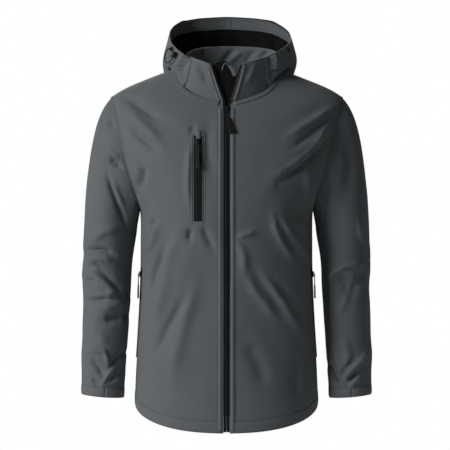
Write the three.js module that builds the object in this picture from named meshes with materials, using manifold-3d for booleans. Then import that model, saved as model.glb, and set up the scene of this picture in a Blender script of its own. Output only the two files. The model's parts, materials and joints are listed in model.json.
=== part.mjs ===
// Softshell jacket with its hood thrown back, in the shape it has when it is worn.
// Millimetres, +Z up. The front faces -Y and the wearer's left side is +X.
// The origin is the middle of the neck opening, at the height of the shoulder neck points.
import * as THREE from 'three';
import { mergeVertices } from 'three/addons/utils/BufferGeometryUtils.js';
import Module from 'manifold-3d';

const wasm = await Module();
wasm.setup();

// Driving dimensions
const CLOTH = 2.0;              // wall of bonded softshell
const TAPE = 1.0;               // wall of zip tape and wind flap
const SEAM = 0.3;               // gap between sewn pieces
const ROUNDNESS = 2.3;          // exponent of the body's superellipse rings
const HEM_SIDE = -697;          // height of the hem at the side seams
const HEM_MID = -748;           // height of the hem at centre front and centre back
const ARM_MID = -181;           // height of the middle of the armhole
const ARM_HALF = 119;           // half height of the armhole
const ARM_CUT_FRONT = 26;       // how far the armhole cuts into the front, degrees of the ring
const ARM_CUT_BACK = 24;        // the same into the back
const ZIP_HALF = 6.8;           // half width of the zip that shows between the fronts
const COLLAR_EDGE = 8.5;        // half width between the collar's front edges at the neck seam
const FACING_WIDTH = 25;        // band inside the hood's rim
const SLIDER_HEIGHT = -93;      // height of the main slider

// Half width and depths of the body ring at each height
const BODY = [
  { z: -780, half: 192.5, front: 154, back: 142 },
  { z: -700, half: 192.5, front: 152, back: 140 },
  { z: -634, half: 190, front: 149, back: 136 },
  { z: -592, half: 187, front: 147.5, back: 133 },
  { z: -508, half: 182.5, front: 145, back: 130 },
  { z: -424, half: 180.5, front: 145.5, back: 131 },
  { z: -350, half: 179.5, front: 149, back: 135 },
  { z: -304, half: 180, front: 152, back: 138 },
  { z: -285, half: 188, front: 152, back: 139 },
  { z: -260, half: 203, front: 150.5, back: 140 },
  { z: -220, half: 222, front: 147.5, back: 140.5 },
  { z: -180, half: 236, front: 140, back: 139 },
  { z: -140, half: 241, front: 127, back: 135 },
  { z: -100, half: 245, front: 107, back: 128 },
  { z: -65, half: 245, front: 82, back: 117 },
  { z: -50, half: 231, front: 72, back: 111 },
  { z: -35, half: 195, front: 61, back: 103 },
  { z: -20, half: 156.5, front: 47, back: 92 },
  { z: -8, half: 126, front: 32, back: 76 },
  { z: 0, half: 105, front: 22, back: 60 },
];

// Height of the neck seam round the ring: 0 is centre front, 90 the shoulder, 180 centre back
const NECK = [
  { angle: 0, z: -82 },
  { angle: 12, z: -65 },
  { angle: 26, z: -35 },
  { angle: 50, z: -10 },
  { angle: 90, z: 0 },
  { angle: 130, z: -3 },
  { angle: 180, z: -8 },
];

// Sleeve rings below the shoulder cap
const SLEEVE = [
  { z: -345, outer: 301, inner: 187.5, middle: 5, depth: 72 },
  { z: -403, outer: 301, inner: 197, middle: 4, depth: 68 },
  { z: -487, outer: 302.5, inner: 201, middle: 1, depth: 62 },
  { z: -560, outer: 303, inner: 205, middle: -7, depth: 55 },
  { z: -620, outer: 303, inner: 209, middle: -18, depth: 48 },
  { z: -688, outer: 303, inner: 211, middle: -29, depth: 42 },
];

// Collar: top edge by angle, as on the body's rings; shift is to the wearer's left
const COLLAR_TOP = [
  { angle: 0, x: 33, y: -101, z: -4, shift: 0 },
  { angle: 20, x: 60, y: -89, z: 7, shift: 2 },
  { angle: 40, x: 85, y: -60, z: 18, shift: 6 },
  { angle: 90, x: 98, y: -2, z: 28, shift: 12 },
  { angle: 130, x: 82, y: 44, z: 43, shift: 11 },
  { angle: 155, x: 46, y: 64, z: 50, shift: 9 },
  { angle: 180, x: 0, y: 71, z: 52, shift: 8 },
];

// Hood's rim by angle; lean is how much further out it is on the wearer's left
const HOOD_RIM = [
  { angle: 21, x: 81, y: -82, z: 14, lean: 6 },
  { angle: 45, x: 101, y: -64, z: 30, lean: 10 },
  { angle: 70, x: 114, y: -38, z: 44, lean: 15 },
  { angle: 95, x: 121, y: 6, z: 61, lean: 16 },
  { angle: 125, x: 119, y: 70, z: 87, lean: 12 },
  { angle: 150, x: 88, y: 120, z: 112, lean: 8 },
  { angle: 180, x: 0, y: 145, z: 122, lean: 0 },
];

// Widest fold of the hood's pouch
const HOOD_OUT = [
  { angle: 21, x: 87, y: -82, z: -10 },
  { angle: 45, x: 112, y: -54, z: 4 },
  { angle: 70, x: 125, y: -22, z: 12 },
  { angle: 95, x: 131, y: 24, z: 17 },
  { angle: 125, x: 138, y: 98, z: 2 },
  { angle: 150, x: 100, y: 165, z: -32 },
  { angle: 180, x: 0, y: 202, z: -62 },
];

// Lowest fold of the hood's pouch
const HOOD_LOW = [
  { angle: 21, x: 89, y: -78, z: -34 },
  { angle: 45, x: 110, y: -44, z: -14 },
  { angle: 70, x: 119, y: -16, z: -4 },
  { angle: 95, x: 122, y: 24, z: -4 },
  { angle: 125, x: 120, y: 104, z: -44 },
  { angle: 150, x: 78, y: 146, z: -112 },
  { angle: 180, x: 0, y: 166, z: -148 },
];

// Main folds of the body: a line from (x1, z1) to (x2, z2) on one side, its width, and its height,
// which is negative for a trough
const BODY_FOLDS = [
  { side: 'front', x1: 235, z1: -92, x2: 106, z2: -232, width: 20, height: 7 },
  { side: 'front', x1: 222, z1: -130, x2: 98, z2: -268, width: 17, height: -6 },
  { side: 'front', x1: 100, z1: -285, x2: 150, z2: -430, width: 22, height: 5 },
  { side: 'front', x1: 14, z1: -400, x2: 84, z2: -480, width: 18, height: 4 },
  { side: 'front', x1: 42, z1: -374, x2: 172, z2: -520, width: 20, height: 5 },
  { side: 'front', x1: 55, z1: -470, x2: 120, z2: -640, width: 24, height: -4 },
  { side: 'front', x1: -212, z1: -62, x2: -126, z2: -128, width: 15, height: -4 },
  { side: 'front', x1: -205, z1: -112, x2: -132, z2: -172, width: 15, height: 4 },
  { side: 'front', x1: -83, z1: -388, x2: -160, z2: -570, width: 17, height: 6 },
  { side: 'front', x1: -112, z1: -360, x2: -146, z2: -455, width: 16, height: -5 },
  { side: 'front', x1: -145, z1: -305, x2: -166, z2: -378, width: 15, height: 4 },
  { side: 'front', x1: -40, z1: -430, x2: -70, z2: -660, width: 26, height: -4 },
  { side: 'back', x1: -200, z1: -150, x2: -70, z2: -330, width: 24, height: 6 },
  { side: 'back', x1: 205, z1: -140, x2: 84, z2: -310, width: 22, height: 5 },
  { side: 'back', x1: 150, z1: -380, x2: 40, z2: -470, width: 22, height: 5 },
  { side: 'back', x1: -160, z1: -420, x2: -30, z2: -500, width: 20, height: -5 },
  { side: 'back', x1: -60, z1: -480, x2: -110, z2: -680, width: 26, height: 5 },
  { side: 'back', x1: 90, z1: -500, x2: 120, z2: -690, width: 26, height: -4 },
];

// Main folds of the sleeves, written in the same way
const SLEEVE_FOLDS = [
  { side: 'front', x1: -249, z1: -200, x2: -209, z2: -342, width: 16, height: -5 },
  { side: 'front', x1: -302, z1: -388, x2: -232, z2: -396, width: 15, height: 6 },
  { side: 'front', x1: -292, z1: -416, x2: -244, z2: -438, width: 14, height: -6 },
  { side: 'front', x1: -300, z1: -440, x2: -238, z2: -476, width: 14, height: 5 },
  { side: 'front', x1: -262, z1: -552, x2: -208, z2: -530, width: 16, height: -4 },
  { side: 'front', x1: -293, z1: -604, x2: -251, z2: -604, width: 14, height: 5 },
  { side: 'front', x1: 295, z1: -415, x2: 230, z2: -424, width: 15, height: 6 },
  { side: 'front', x1: 232, z1: -428, x2: 198, z2: -462, width: 14, height: 5 },
  { side: 'front', x1: 286, z1: -446, x2: 226, z2: -466, width: 14, height: -6 },
  { side: 'front', x1: 297, z1: -600, x2: 246, z2: -660, width: 14, height: 5 },
  { side: 'front', x1: 268, z1: -200, x2: 230, z2: -330, width: 18, height: -4 },
  { side: 'back', x1: -300, z1: -430, x2: -215, z2: -470, width: 18, height: 6 },
  { side: 'back', x1: 300, z1: -400, x2: 215, z2: -450, width: 18, height: 6 },
  { side: 'back', x1: 298, z1: -470, x2: 220, z2: -500, width: 16, height: -5 },
  { side: 'back', x1: -298, z1: -500, x2: -222, z2: -520, width: 16, height: -5 },
  { side: 'back', x1: -290, z1: -250, x2: -225, z2: -360, width: 20, height: 5 },
  { side: 'back', x1: 290, z1: -270, x2: 228, z2: -380, width: 20, height: 5 },
];

// Upright strips of the fronts that the zips keep flat: middle, top and bottom, half width
const CALM = [
  { x: 0, top: 0, bottom: -760, half: 26 },
  { x: -60, top: -125, bottom: -350, half: 30 },
  { x: -182, top: -400, bottom: -640, half: 26 },
  { x: 182, top: -400, bottom: -640, half: 26 },
];

const GREY = 0x565a5f;
const BLACK = 0x17181a;
const colours = {
  softshell: { color: GREY, roughness: 0.86, metalness: 0 },
  tape: { color: BLACK, roughness: 0.9, metalness: 0 },
  slider: { color: 0x1c1d1f, roughness: 0.4, metalness: 0.5 },
  grip: { color: 0x191a1b, roughness: 0.6, metalness: 0 },
};

const jacket = new THREE.Group();
const radians = THREE.MathUtils.degToRad;
const vec = (x, y, z) => new THREE.Vector3(x, y, z);
const mix = THREE.MathUtils.lerp;
const smooth = THREE.MathUtils.smoothstep;

// Value of one column of a table at a key, on a smooth curve through its rows
function curve(table, keyName, key, column) {
  const up = table[0][keyName] < table[table.length - 1][keyName];
  const rows = up ? table : [...table].reverse();
  const last = rows.length - 1;
  if (key <= rows[0][keyName]) return rows[0][column];
  if (key >= rows[last][keyName]) return rows[last][column];
  let i = 0;
  while (rows[i + 1][keyName] < key) i += 1;
  const slope = (j) => {
    const a = rows[Math.max(j - 1, 0)];
    const b = rows[Math.min(j + 1, last)];
    return (b[column] - a[column]) / (b[keyName] - a[keyName]);
  };
  const step = rows[i + 1][keyName] - rows[i][keyName];
  const f = (key - rows[i][keyName]) / step;
  const rest = 1 - f;
  return rows[i][column] * (1 + 2 * f) * rest * rest
    + rows[i + 1][column] * (3 - 2 * f) * f * f
    + step * f * rest * (slope(i) * rest - slope(i + 1) * f);
}

// Height of the folds at a point, from a table of them
function foldHeight(folds, x, z, facing) {
  let height = 0;
  for (const fold of folds) {
    const weight = fold.side === 'front' ? facing : 1 - facing;
    if (weight <= 0) continue;
    const dx = fold.x2 - fold.x1;
    const dz = fold.z2 - fold.z1;
    const length = Math.hypot(dx, dz);
    const along = ((x - fold.x1) * dx + (z - fold.z1) * dz) / length;
    const across = ((x - fold.x1) * dz - (z - fold.z1) * dx) / length;
    const beyond = Math.max(0, -along, along - length);
    const spread = Math.exp(-((across / fold.width) ** 2) - (beyond / fold.width / 1.4) ** 2);
    height += weight * fold.height * spread;
  }
  return height;
}

// How much of its folds the body keeps at a point: none under a zip, at the hem or at the neck
function loose(x, z) {
  let keep = smooth(z, HEM_SIDE, HEM_SIDE + 60) * (1 - smooth(z, -75, -45));
  for (const strip of CALM) {
    const up = Math.max(0, z - strip.top, strip.bottom - z);
    keep *= smooth(Math.hypot(x - strip.x, up), strip.half * 0.6, strip.half * 1.5);
  }
  return keep;
}

// The body's rings, before and after folding
function bodyPlain(side, angle, z) {
  const power = 2 / ROUNDNESS;
  const sine = Math.abs(Math.sin(radians(angle)));
  const cosine = Math.cos(radians(angle));
  const depth = curve(BODY, 'z', z, cosine > 0 ? 'front' : 'back');
  const x = side * curve(BODY, 'z', z, 'half') * sine ** power;
  const y = -Math.sign(cosine) * depth * Math.abs(cosine) ** power;
  return vec(x, y, z);
}

function bodyNormal(side, angle, z) {
  const a = Math.min(Math.max(angle, 0.6), 179.4);
  const round = bodyPlain(side, a + 0.5, z).sub(bodyPlain(side, a - 0.5, z));
  const rise = bodyPlain(side, a, z + 1).sub(bodyPlain(side, a, z - 1));
  return round.cross(rise).multiplyScalar(side).normalize();
}

function body(side, angle, z) {
  const point = bodyPlain(side, angle, z);
  const facing = 1 - smooth(point.y, -25, 25);
  const fold = foldHeight(BODY_FOLDS, point.x, z, facing) * loose(point.x, z);
  return point.addScaledVector(bodyNormal(side, angle, z), fold);
}

// Angle on the front's ring of a point at distance x from the middle
function angleAt(x, z) {
  const share = Math.abs(x) / curve(BODY, 'z', z, 'half');
  return THREE.MathUtils.radToDeg(Math.asin(Math.min(share, 1) ** (ROUNDNESS / 2)));
}

const hemHeight = (angle) => mix(HEM_SIDE, HEM_MID, Math.abs(Math.cos(radians(angle))));
const neckHeight = (angle) => curve(NECK, 'angle', angle, 'z');
const rowHeight = (angle, row) => mix(hemHeight(angle), neckHeight(angle), row);

// The armhole, by turn: 0 is the shoulder tip, 90 the front, 180 the armpit, 270 the back
function armhole(turn) {
  const rise = Math.cos(radians(turn));
  const z = ARM_MID + ARM_HALF * rise;
  const cut = (1 - Math.abs(rise) ** 2.6) ** (1 / 2.2);
  const angle = turn <= 180 ? 90 - ARM_CUT_FRONT * cut : 90 + ARM_CUT_BACK * cut;
  const row = (z - hemHeight(angle)) / (neckHeight(angle) - hemHeight(angle));
  return { z, angle, row };
}

// A closed wall: outer points in rows, inner points moved in against their normals
function addWall(name, points, normals, thickness, colour) {
  const rows = points.length;
  const columns = points[0].length;
  const position = [];
  for (const depth of [0, thickness]) {
    for (let i = 0; i < rows; i += 1) {
      for (let j = 0; j < columns; j += 1) {
        position.push(...points[i][j].clone().addScaledVector(normals[i][j], -depth).toArray());
      }
    }
  }
  const index = [];
  const skin = rows * columns;
  const quad = (a, b, c, d) => index.push(a, b, c, a, c, d);
  for (let i = 0; i + 1 < rows; i += 1) {
    for (let j = 0; j + 1 < columns; j += 1) {
      const a = i * columns + j;
      quad(a, a + 1, a + columns + 1, a + columns);
      quad(skin + a, skin + a + columns, skin + a + columns + 1, skin + a + 1);
    }
  }
  const rim = [];
  for (let j = 0; j + 1 < columns; j += 1) rim.push(j);
  for (let i = 0; i + 1 < rows; i += 1) rim.push(i * columns + columns - 1);
  for (let j = columns - 1; j > 0; j -= 1) rim.push((rows - 1) * columns + j);
  for (let i = rows - 1; i > 0; i -= 1) rim.push(i * columns);
  rim.forEach((a, k) => {
    const b = rim[(k + 1) % rim.length];
    quad(b, a, skin + a, skin + b);
  });
  const geometry = new THREE.BufferGeometry();
  geometry.setAttribute('position', new THREE.Float32BufferAttribute(position, 3));
  geometry.setIndex(index);
  addMesh(name, faceOutwards(geometry), colour);
}

// Turns every triangle round when the closed surface encloses a negative volume
function faceOutwards(geometry) {
  const place = geometry.attributes.position;
  const index = geometry.index.array;
  const [a, b, c] = [vec(), vec(), vec()];
  let volume = 0;
  for (let i = 0; i < index.length; i += 3) {
    a.fromBufferAttribute(place, index[i]);
    b.fromBufferAttribute(place, index[i + 1]);
    c.fromBufferAttribute(place, index[i + 2]);
    volume += a.dot(b.cross(c));
  }
  if (volume < 0) {
    for (let i = 0; i < index.length; i += 3) {
      [index[i + 1], index[i + 2]] = [index[i + 2], index[i + 1]];
    }
  }
  return geometry;
}

function addMesh(name, geometry, colour) {
  const mesh = new THREE.Mesh(geometry, new THREE.MeshStandardMaterial(colours[colour]));
  mesh.name = name;
  jacket.add(mesh);
  return mesh;
}

// Normals of a grid from its neighbours, all turned the way that toward() says at each point
function gridNormals(points, toward) {
  const rows = points.length - 1;
  return points.map((line, i) => line.map((point, j) => {
    const up = points[Math.min(i + 1, rows)][j].clone().sub(points[Math.max(i - 1, 0)][j]);
    const end = line.length - 1;
    const side = line[Math.min(j + 1, end)].clone().sub(line[Math.max(j - 1, 0)]);
    const normal = side.cross(up).normalize();
    return normal.dot(toward(point)) < 0 ? normal.negate() : normal;
  }));
}

// Rows of the body pieces: even below the armpit, then one through each point of the armhole
const ARM_STEPS = 9;
const LOW_ROWS = 11;
const HIGH_ROWS = 3;
function bodyRows(back) {
  const rows = [];
  const pit = armhole(180).row;
  for (let i = 0; i < LOW_ROWS; i += 1) rows.push({ row: (pit * i) / LOW_ROWS, edge: 90 });
  for (let i = 0; i <= ARM_STEPS; i += 1) {
    const turn = back ? 180 + (180 * i) / ARM_STEPS : 180 - (180 * i) / ARM_STEPS;
    const { row, angle } = armhole(turn);
    rows.push({ row, edge: angle });
  }
  const tip = rows[rows.length - 1].row;
  for (let i = 1; i <= HIGH_ROWS; i += 1) {
    rows.push({ row: mix(tip, 1, i / HIGH_ROWS), edge: 90 });
  }
  return rows;
}

// Fronts, from the zip to the side seam and shoulder seam
const FRONT_COLUMNS = 13;
const SIDE_GAP = 0.06;          // half a seam gap at the side, in degrees
function addFront(name, side) {
  const points = [];
  const normals = [];
  for (const { row, edge } of bodyRows(false)) {
    const zipAngle = angleAt(mix(ZIP_HALF, COLLAR_EDGE, smooth(row, 0.97, 1)), rowHeight(1, row));
    const line = [];
    const out = [];
    for (let j = 0; j <= FRONT_COLUMNS; j += 1) {
      const share = (j / FRONT_COLUMNS) ** 0.93;
      const angle = mix(zipAngle, edge === 90 ? 90 - SIDE_GAP : edge, share);
      const z = rowHeight(angle, row);
      line.push(body(side, angle, z));
      out.push(bodyNormal(side, angle, z));
    }
    points.push(line);
    normals.push(out);
  }
  addWall(name, points, normals, CLOTH, 'softshell');
}

// Back, from one side seam round to the other
const BACK_COLUMNS = 24;
function addBack() {
  const points = [];
  const normals = [];
  for (const { row, edge } of bodyRows(true)) {
    const start = edge === 90 ? 90 + SIDE_GAP : edge;
    const line = [];
    const out = [];
    for (let j = 0; j <= BACK_COLUMNS; j += 1) {
      const half = (2 * j) / BACK_COLUMNS;
      const side = half <= 1 ? 1 : -1;
      const angle = mix(start, 180, half <= 1 ? half : 2 - half);
      const z = rowHeight(angle, row);
      line.push(body(side, angle, z));
      out.push(bodyNormal(side, angle, z));
    }
    points.push(line);
    normals.push(out);
  }
  addWall('back', points, normals, CLOTH, 'softshell');
}

// One sleeve surface: by turn round the arm, as on the armhole, and by share of its length
const CAP_SHARE = 0.38;
const CUFF_TURN = 95;           // where the front seam ends at the cuff
const SEAM_FRONT = 140;
const SEAM_BACK = 220;
const CUFF_RISE = 8;            // the cuff is this much shorter at the outside
function sleeveRing(turn, z) {
  const outer = curve(SLEEVE, 'z', z, 'outer');
  const inner = curve(SLEEVE, 'z', z, 'inner');
  const x = (outer + inner) / 2 + ((outer - inner) / 2) * Math.cos(radians(turn));
  const y = curve(SLEEVE, 'z', z, 'middle') - curve(SLEEVE, 'z', z, 'depth') * Math.sin(radians(turn));
  return vec(x, y, z);
}

function sleevePlain(side, turn, share) {
  const round = ((turn % 360) + 360) % 360;
  const top = SLEEVE[0].z;
  const end = SLEEVE[SLEEVE.length - 1].z + CUFF_RISE * (0.5 + 0.5 * Math.cos(radians(turn)));
  if (share >= CAP_SHARE) {
    const point = sleeveRing(turn, mix(top, end, (share - CAP_SHARE) / (1 - CAP_SHARE)));
    point.x *= side;
    return point;
  }
  const seam = armhole(round);
  const start = body(side, seam.angle, seam.z);
  start.x *= side;
  start.add(vec(0.4, 0, -0.2));
  const open = Math.cos(radians(turn / 2)) ** 2;
  const finish = sleeveRing(turn, top);
  const lift = vec(42, 0, -26).multiplyScalar(open);
  const settle = vec(-5 * open, 0, mix(14, 112, open));
  const bezier = new THREE.CubicBezierCurve3(
    start,
    start.clone().add(lift).add(vec(0, 0, -8)),
    finish.clone().add(settle),
    finish,
  );
  const point = bezier.getPoint(share / CAP_SHARE);
  point.x *= side;
  return point;
}

function sleeveNormal(side, turn, share) {
  const low = Math.min(share + 0.004, 1);
  const high = Math.max(share - 0.004, 0);
  const round = sleevePlain(side, turn + 2, share).sub(sleevePlain(side, turn - 2, share));
  const fall = sleevePlain(side, turn, low).sub(sleevePlain(side, turn, high));
  return round.cross(fall).multiplyScalar(side).normalize();
}

function sleeve(side, turn, share) {
  const point = sleevePlain(side, turn, share);
  const normal = sleeveNormal(side, turn, share);
  const middle = curve(SLEEVE, 'z', point.z, 'middle');
  const facing = 1 - smooth(point.y - middle, -18, 18);
  const keep = smooth(share, 0.03, 0.2) * (1 - smooth(share, 0.9, 0.99));
  const inward = 1 - 0.8 * smooth(-Math.cos(radians(turn)), 0.5, 0.95);
  return point.addScaledVector(normal, foldHeight(SLEEVE_FOLDS, point.x, point.z, facing) * keep * inward);
}

const CAP_ROWS = 6;
const ARM_ROWS = 12;
function addSleevePiece(name, side, under) {
  const steps = under ? 4 : 14;
  const points = [];
  const normals = [];
  for (let i = 0; i <= CAP_ROWS + ARM_ROWS; i += 1) {
    const capPart = (i / CAP_ROWS) ** 1.15 * CAP_SHARE;
    const share = i <= CAP_ROWS ? capPart : mix(CAP_SHARE, 1, (i - CAP_ROWS) / ARM_ROWS);
    const front = mix(SEAM_FRONT, CUFF_TURN, smooth(share, 0.86, 0.99));
    const gap = 0.25;
    const from = under ? front + gap : SEAM_BACK - 360 + gap;
    const to = under ? SEAM_BACK - gap : front - gap;
    const line = [];
    const out = [];
    for (let j = 0; j <= steps; j += 1) {
      const turn = mix(from, to, j / steps);
      const normal = sleeveNormal(side, turn, share);
      if (i === 0) {
        const seam = armhole(((turn % 360) + 360) % 360);
        const near = bodyNormal(side, seam.angle, seam.z);
        if (near.dot(normal) > 0.75) normal.copy(near);
      }
      line.push(sleeve(side, turn, share));
      out.push(normal);
    }
    points.push(line);
    normals.push(out);
  }
  addWall(name, points, normals, CLOTH, 'softshell');
}

// Neck seam point at an angle that runs from 0 at centre front to 180 at centre back
const neckPoint = (side, angle) => body(side, angle, neckHeight(angle));

// Standing collar: two tubes, open at the front
const COLLAR_COLUMNS = 26;
const COLLAR_ROWS = 4;
function collarPlace(side, angle, share) {
  const place = neckPoint(side, angle);
  place.z += 0.6;
  const top = vec(
    side * curve(COLLAR_TOP, 'angle', angle, 'x') + curve(COLLAR_TOP, 'angle', angle, 'shift'),
    curve(COLLAR_TOP, 'angle', angle, 'y'),
    curve(COLLAR_TOP, 'angle', angle, 'z'),
  );
  const away = vec(place.x, place.y, 0).normalize();
  const swell = 3 * Math.sin(Math.PI * share) * smooth(angle, 10, 40);
  return place.lerp(top, share).addScaledVector(away, swell);
}

const collarStart = angleAt(COLLAR_EDGE, neckHeight(1.5));
function collarGrid(rows) {
  const points = [];
  for (let i = 0; i <= rows; i += 1) {
    const line = [];
    for (let j = 0; j <= COLLAR_COLUMNS; j += 1) {
      const half = (2 * j) / COLLAR_COLUMNS;
      const side = half <= 1 ? 1 : -1;
      const angle = mix(collarStart, 180, (half <= 1 ? half : 2 - half) ** 1.15);
      line.push(collarPlace(side, angle, i / rows));
    }
    points.push(line);
  }
  return points;
}

function addCollar() {
  const points = collarGrid(COLLAR_ROWS);
  const normals = gridNormals(points, (p) => vec(p.x - 4, p.y + 10, 0));
  addWall('collar_outer', points, normals, CLOTH, 'softshell');
  const step = CLOTH + SEAM;
  const inside = points.map((line, i) => line.map((p, j) => p.clone().addScaledVector(normals[i][j], -step)));
  addWall('collar_inner', inside, normals, CLOTH, 'softshell');
}

// Height of the body's surface over a place in plan, near the neck and shoulders
function shoulderHeight(x, y) {
  let low = -300;
  let high = 0;
  for (let i = 0; i < 30; i += 1) {
    const z = (low + high) / 2;
    const depth = curve(BODY, 'z', z, y < 0 ? 'front' : 'back');
    const half = curve(BODY, 'z', z, 'half');
    const inside = (Math.abs(x) / half) ** ROUNDNESS + (Math.abs(y) / depth) ** ROUNDNESS < 1;
    if (inside) low = z;
    else high = z;
  }
  return low;
}

// Hood, thrown back: from the neck seam it lies on the shoulders, turns up and ends in its rim
const HOOD_FRONT = 21;          // angle of its front ends on the neck seam
const HOOD_LIFT = 10;           // how far it lies off the shoulders
const HOOD_ROWS = 11;
const SIDE_COLUMNS = 8;
const CENTRE_COLUMNS = 6;
const CENTRE_ANGLE = 148;       // where the side pieces meet the centre piece
function hoodPlace(side, angle, along) {
  const lean = side > 0 ? curve(HOOD_RIM, 'angle', angle, 'lean') : 0;
  const onTable = (table, share) => vec(
    side * curve(table, 'angle', angle, 'x') + lean * share,
    curve(table, 'angle', angle, 'y'),
    curve(table, 'angle', angle, 'z'),
  );
  const start = neckPoint(side, angle);
  const away = vec(start.x, start.y, 0).normalize();
  start.addScaledVector(away, 3.3);
  start.z += 0.9;
  const low = onTable(HOOD_LOW, 0.5);
  const path = [start];
  for (const part of [0.22, 0.48, 0.74]) {
    const place = start.clone().lerp(low, part);
    place.z = Math.max(place.z, shoulderHeight(place.x, place.y) + HOOD_LIFT * Math.min(1, part * 3));
    path.push(place);
  }
  low.z = Math.max(low.z, shoulderHeight(low.x, low.y) + HOOD_LIFT);
  path.push(low);
  path.push(onTable(HOOD_OUT, 1), onTable(HOOD_RIM, 1));
  return new THREE.CatmullRomCurve3(path, false, 'centripetal').getPointAt(along);
}

function hoodGrid(angles, rows) {
  return rows.map((share) => angles.map(({ side, angle }) => hoodPlace(side, angle, share)));
}

const insideHood = vec(4, 60, 60);
const hoodOut = (p) => p.clone().sub(insideHood);
function hoodAngles(from, to, steps, side) {
  const list = [];
  for (let j = 0; j <= steps; j += 1) list.push({ side, angle: mix(from, to, j / steps) });
  return list;
}

function addHood() {
  const shares = [];
  for (let i = 0; i <= HOOD_ROWS; i += 1) shares.push(i / HOOD_ROWS);
  const gap = 0.35;
  const left = hoodAngles(HOOD_FRONT, CENTRE_ANGLE - gap, SIDE_COLUMNS, 1);
  const right = hoodAngles(HOOD_FRONT, CENTRE_ANGLE - gap, SIDE_COLUMNS, -1);
  const centre = [];
  for (let j = 0; j <= CENTRE_COLUMNS; j += 1) {
    const half = (2 * j) / CENTRE_COLUMNS;
    const side = half <= 1 ? 1 : -1;
    centre.push({ side, angle: mix(CENTRE_ANGLE + gap, 180, half <= 1 ? half : 2 - half) });
  }
  const all = [...left, ...centre, ...right.reverse()];
  const points = hoodGrid(all, shares);
  const normals = gridNormals(points, hoodOut);
  const addPiece = (name, from, to) => {
    const cut = (grid) => grid.map((line) => line.slice(from, to + 1));
    addWall(name, cut(points), cut(normals), CLOTH, 'softshell');
  };
  const ends = [SIDE_COLUMNS, SIDE_COLUMNS + CENTRE_COLUMNS + 1, all.length - 1];
  for (const line of normals) {
    for (const seam of [ends[0], ends[1]]) {
      line[seam].add(line[seam + 1]).normalize();
      line[seam + 1].copy(line[seam]);
    }
  }
  addPiece('hood_left', 0, ends[0]);
  addPiece('hood_centre', ends[0] + 1, ends[1]);
  addPiece('hood_right', ends[1] + 1, ends[2]);
  return { points, normals, seams: [ends[0] + 1, ends[1] + 1] };
}

// Band inside the hood's rim, from one side of the collar to the other, on the hood's own grid
const FACING_SKIP = 2;          // columns at each front end that have no room for it
const FACING_ROWS = 4;
function addFacing({ points, normals, seams }) {
  const columns = [];
  for (let j = FACING_SKIP; j < points[0].length - FACING_SKIP; j += 1) {
    if (!seams.includes(j)) columns.push(j);
  }
  const onColumn = (grid, j, share) => {
    const row = Math.min(Math.floor(share), HOOD_ROWS - 1);
    return grid[row][j].clone().lerp(grid[row + 1][j], share - row);
  };
  const lengths = columns.map((j) => {
    let length = 0;
    for (let i = 0; i < HOOD_ROWS; i += 1) length += points[i][j].distanceTo(points[i + 1][j]);
    return length;
  });
  const rows = [];
  const outs = [];
  const step = CLOTH + 3 * SEAM;
  for (let i = 0; i <= FACING_ROWS; i += 1) {
    const fromRim = 1 + FACING_WIDTH * (1 - i / FACING_ROWS);
    const shares = columns.map((j, k) => HOOD_ROWS * (1 - fromRim / lengths[k]));
    const out = columns.map((j, k) => onColumn(normals, j, shares[k]));
    outs.push(out);
    rows.push(columns.map((j, k) => onColumn(points, j, shares[k]).addScaledVector(out[k], -step)));
  }
  addWall('hood_facing', rows, outs, TAPE, 'softshell');
}

// Front zip: each tape fills half the gap between the fronts, and above the slider follows the collar
const TAPE_SINK = 1.0;          // how far the tape lies below the cloth's surface
const TAPE_HALF = 6.3;          // width of the tape that shows beside the collar
const TAPE_INSET = 1.7;        // gap between the tape and the collar's edge
const TAPE_RISE = 6;
function addZipTape(name, side) {
  const points = [];
  const sink = (point, normal) => point.addScaledVector(normal, -TAPE_SINK);
  for (const { row: frontRow } of bodyRows(false)) {
    const row = Math.max(frontRow, 0.003);
    const open = smooth(row, 0.985, 1);
    const edges = [mix(0.2, 1.6, open), mix(ZIP_HALF, COLLAR_EDGE - 1, smooth(row, 0.97, 1)) - 2 * SEAM];
    points.push(edges.map((x) => {
      const z = rowHeight(1, row);
      const angle = angleAt(x, z);
      return sink(body(side, angle, z), bodyNormal(side, 2, z));
    }));
  }
  for (let i = 1; i <= TAPE_RISE; i += 1) {
    const edge = collarPlace(side, collarStart, i / TAPE_RISE);
    const back = vec(0, TAPE_SINK, 0);
    points.push([TAPE_HALF, TAPE_INSET].map((inset) => edge.clone().add(back).add(vec(-side * inset, 0, 0))));
  }
  addWall(name, points, gridNormals(points, () => vec(0, -1, 0)), TAPE, 'tape');
}

// Flap behind the open part of the zip: its top edge, from the wearer's right to the left
const FLAP_TOP = [
  { share: 0, x: -29, z: -1 },
  { share: 0.5, x: -2, z: 7 },
  { share: 0.75, x: 14, z: -8 },
  { share: 1, x: 27, z: -28 },
];
const FLAP_BOTTOM = -140;
const FLAP_HALF = 13;           // half width below the slider
const FLAP_ROWS = 9;
function collarFace(x, z) {
  const side = x < 0 ? -1 : 1;
  let near = collarStart;
  let far = 60;
  let place = null;
  for (let i = 0; i < 18; i += 1) {
    const angle = (near + far) / 2;
    const base = neckHeight(angle);
    const share = (z - base) / (curve(COLLAR_TOP, 'angle', angle, 'z') - base);
    place = collarPlace(side, angle, share);
    if (Math.abs(place.x) < Math.abs(x)) near = angle;
    else far = angle;
  }
  return place.y;
}

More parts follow.
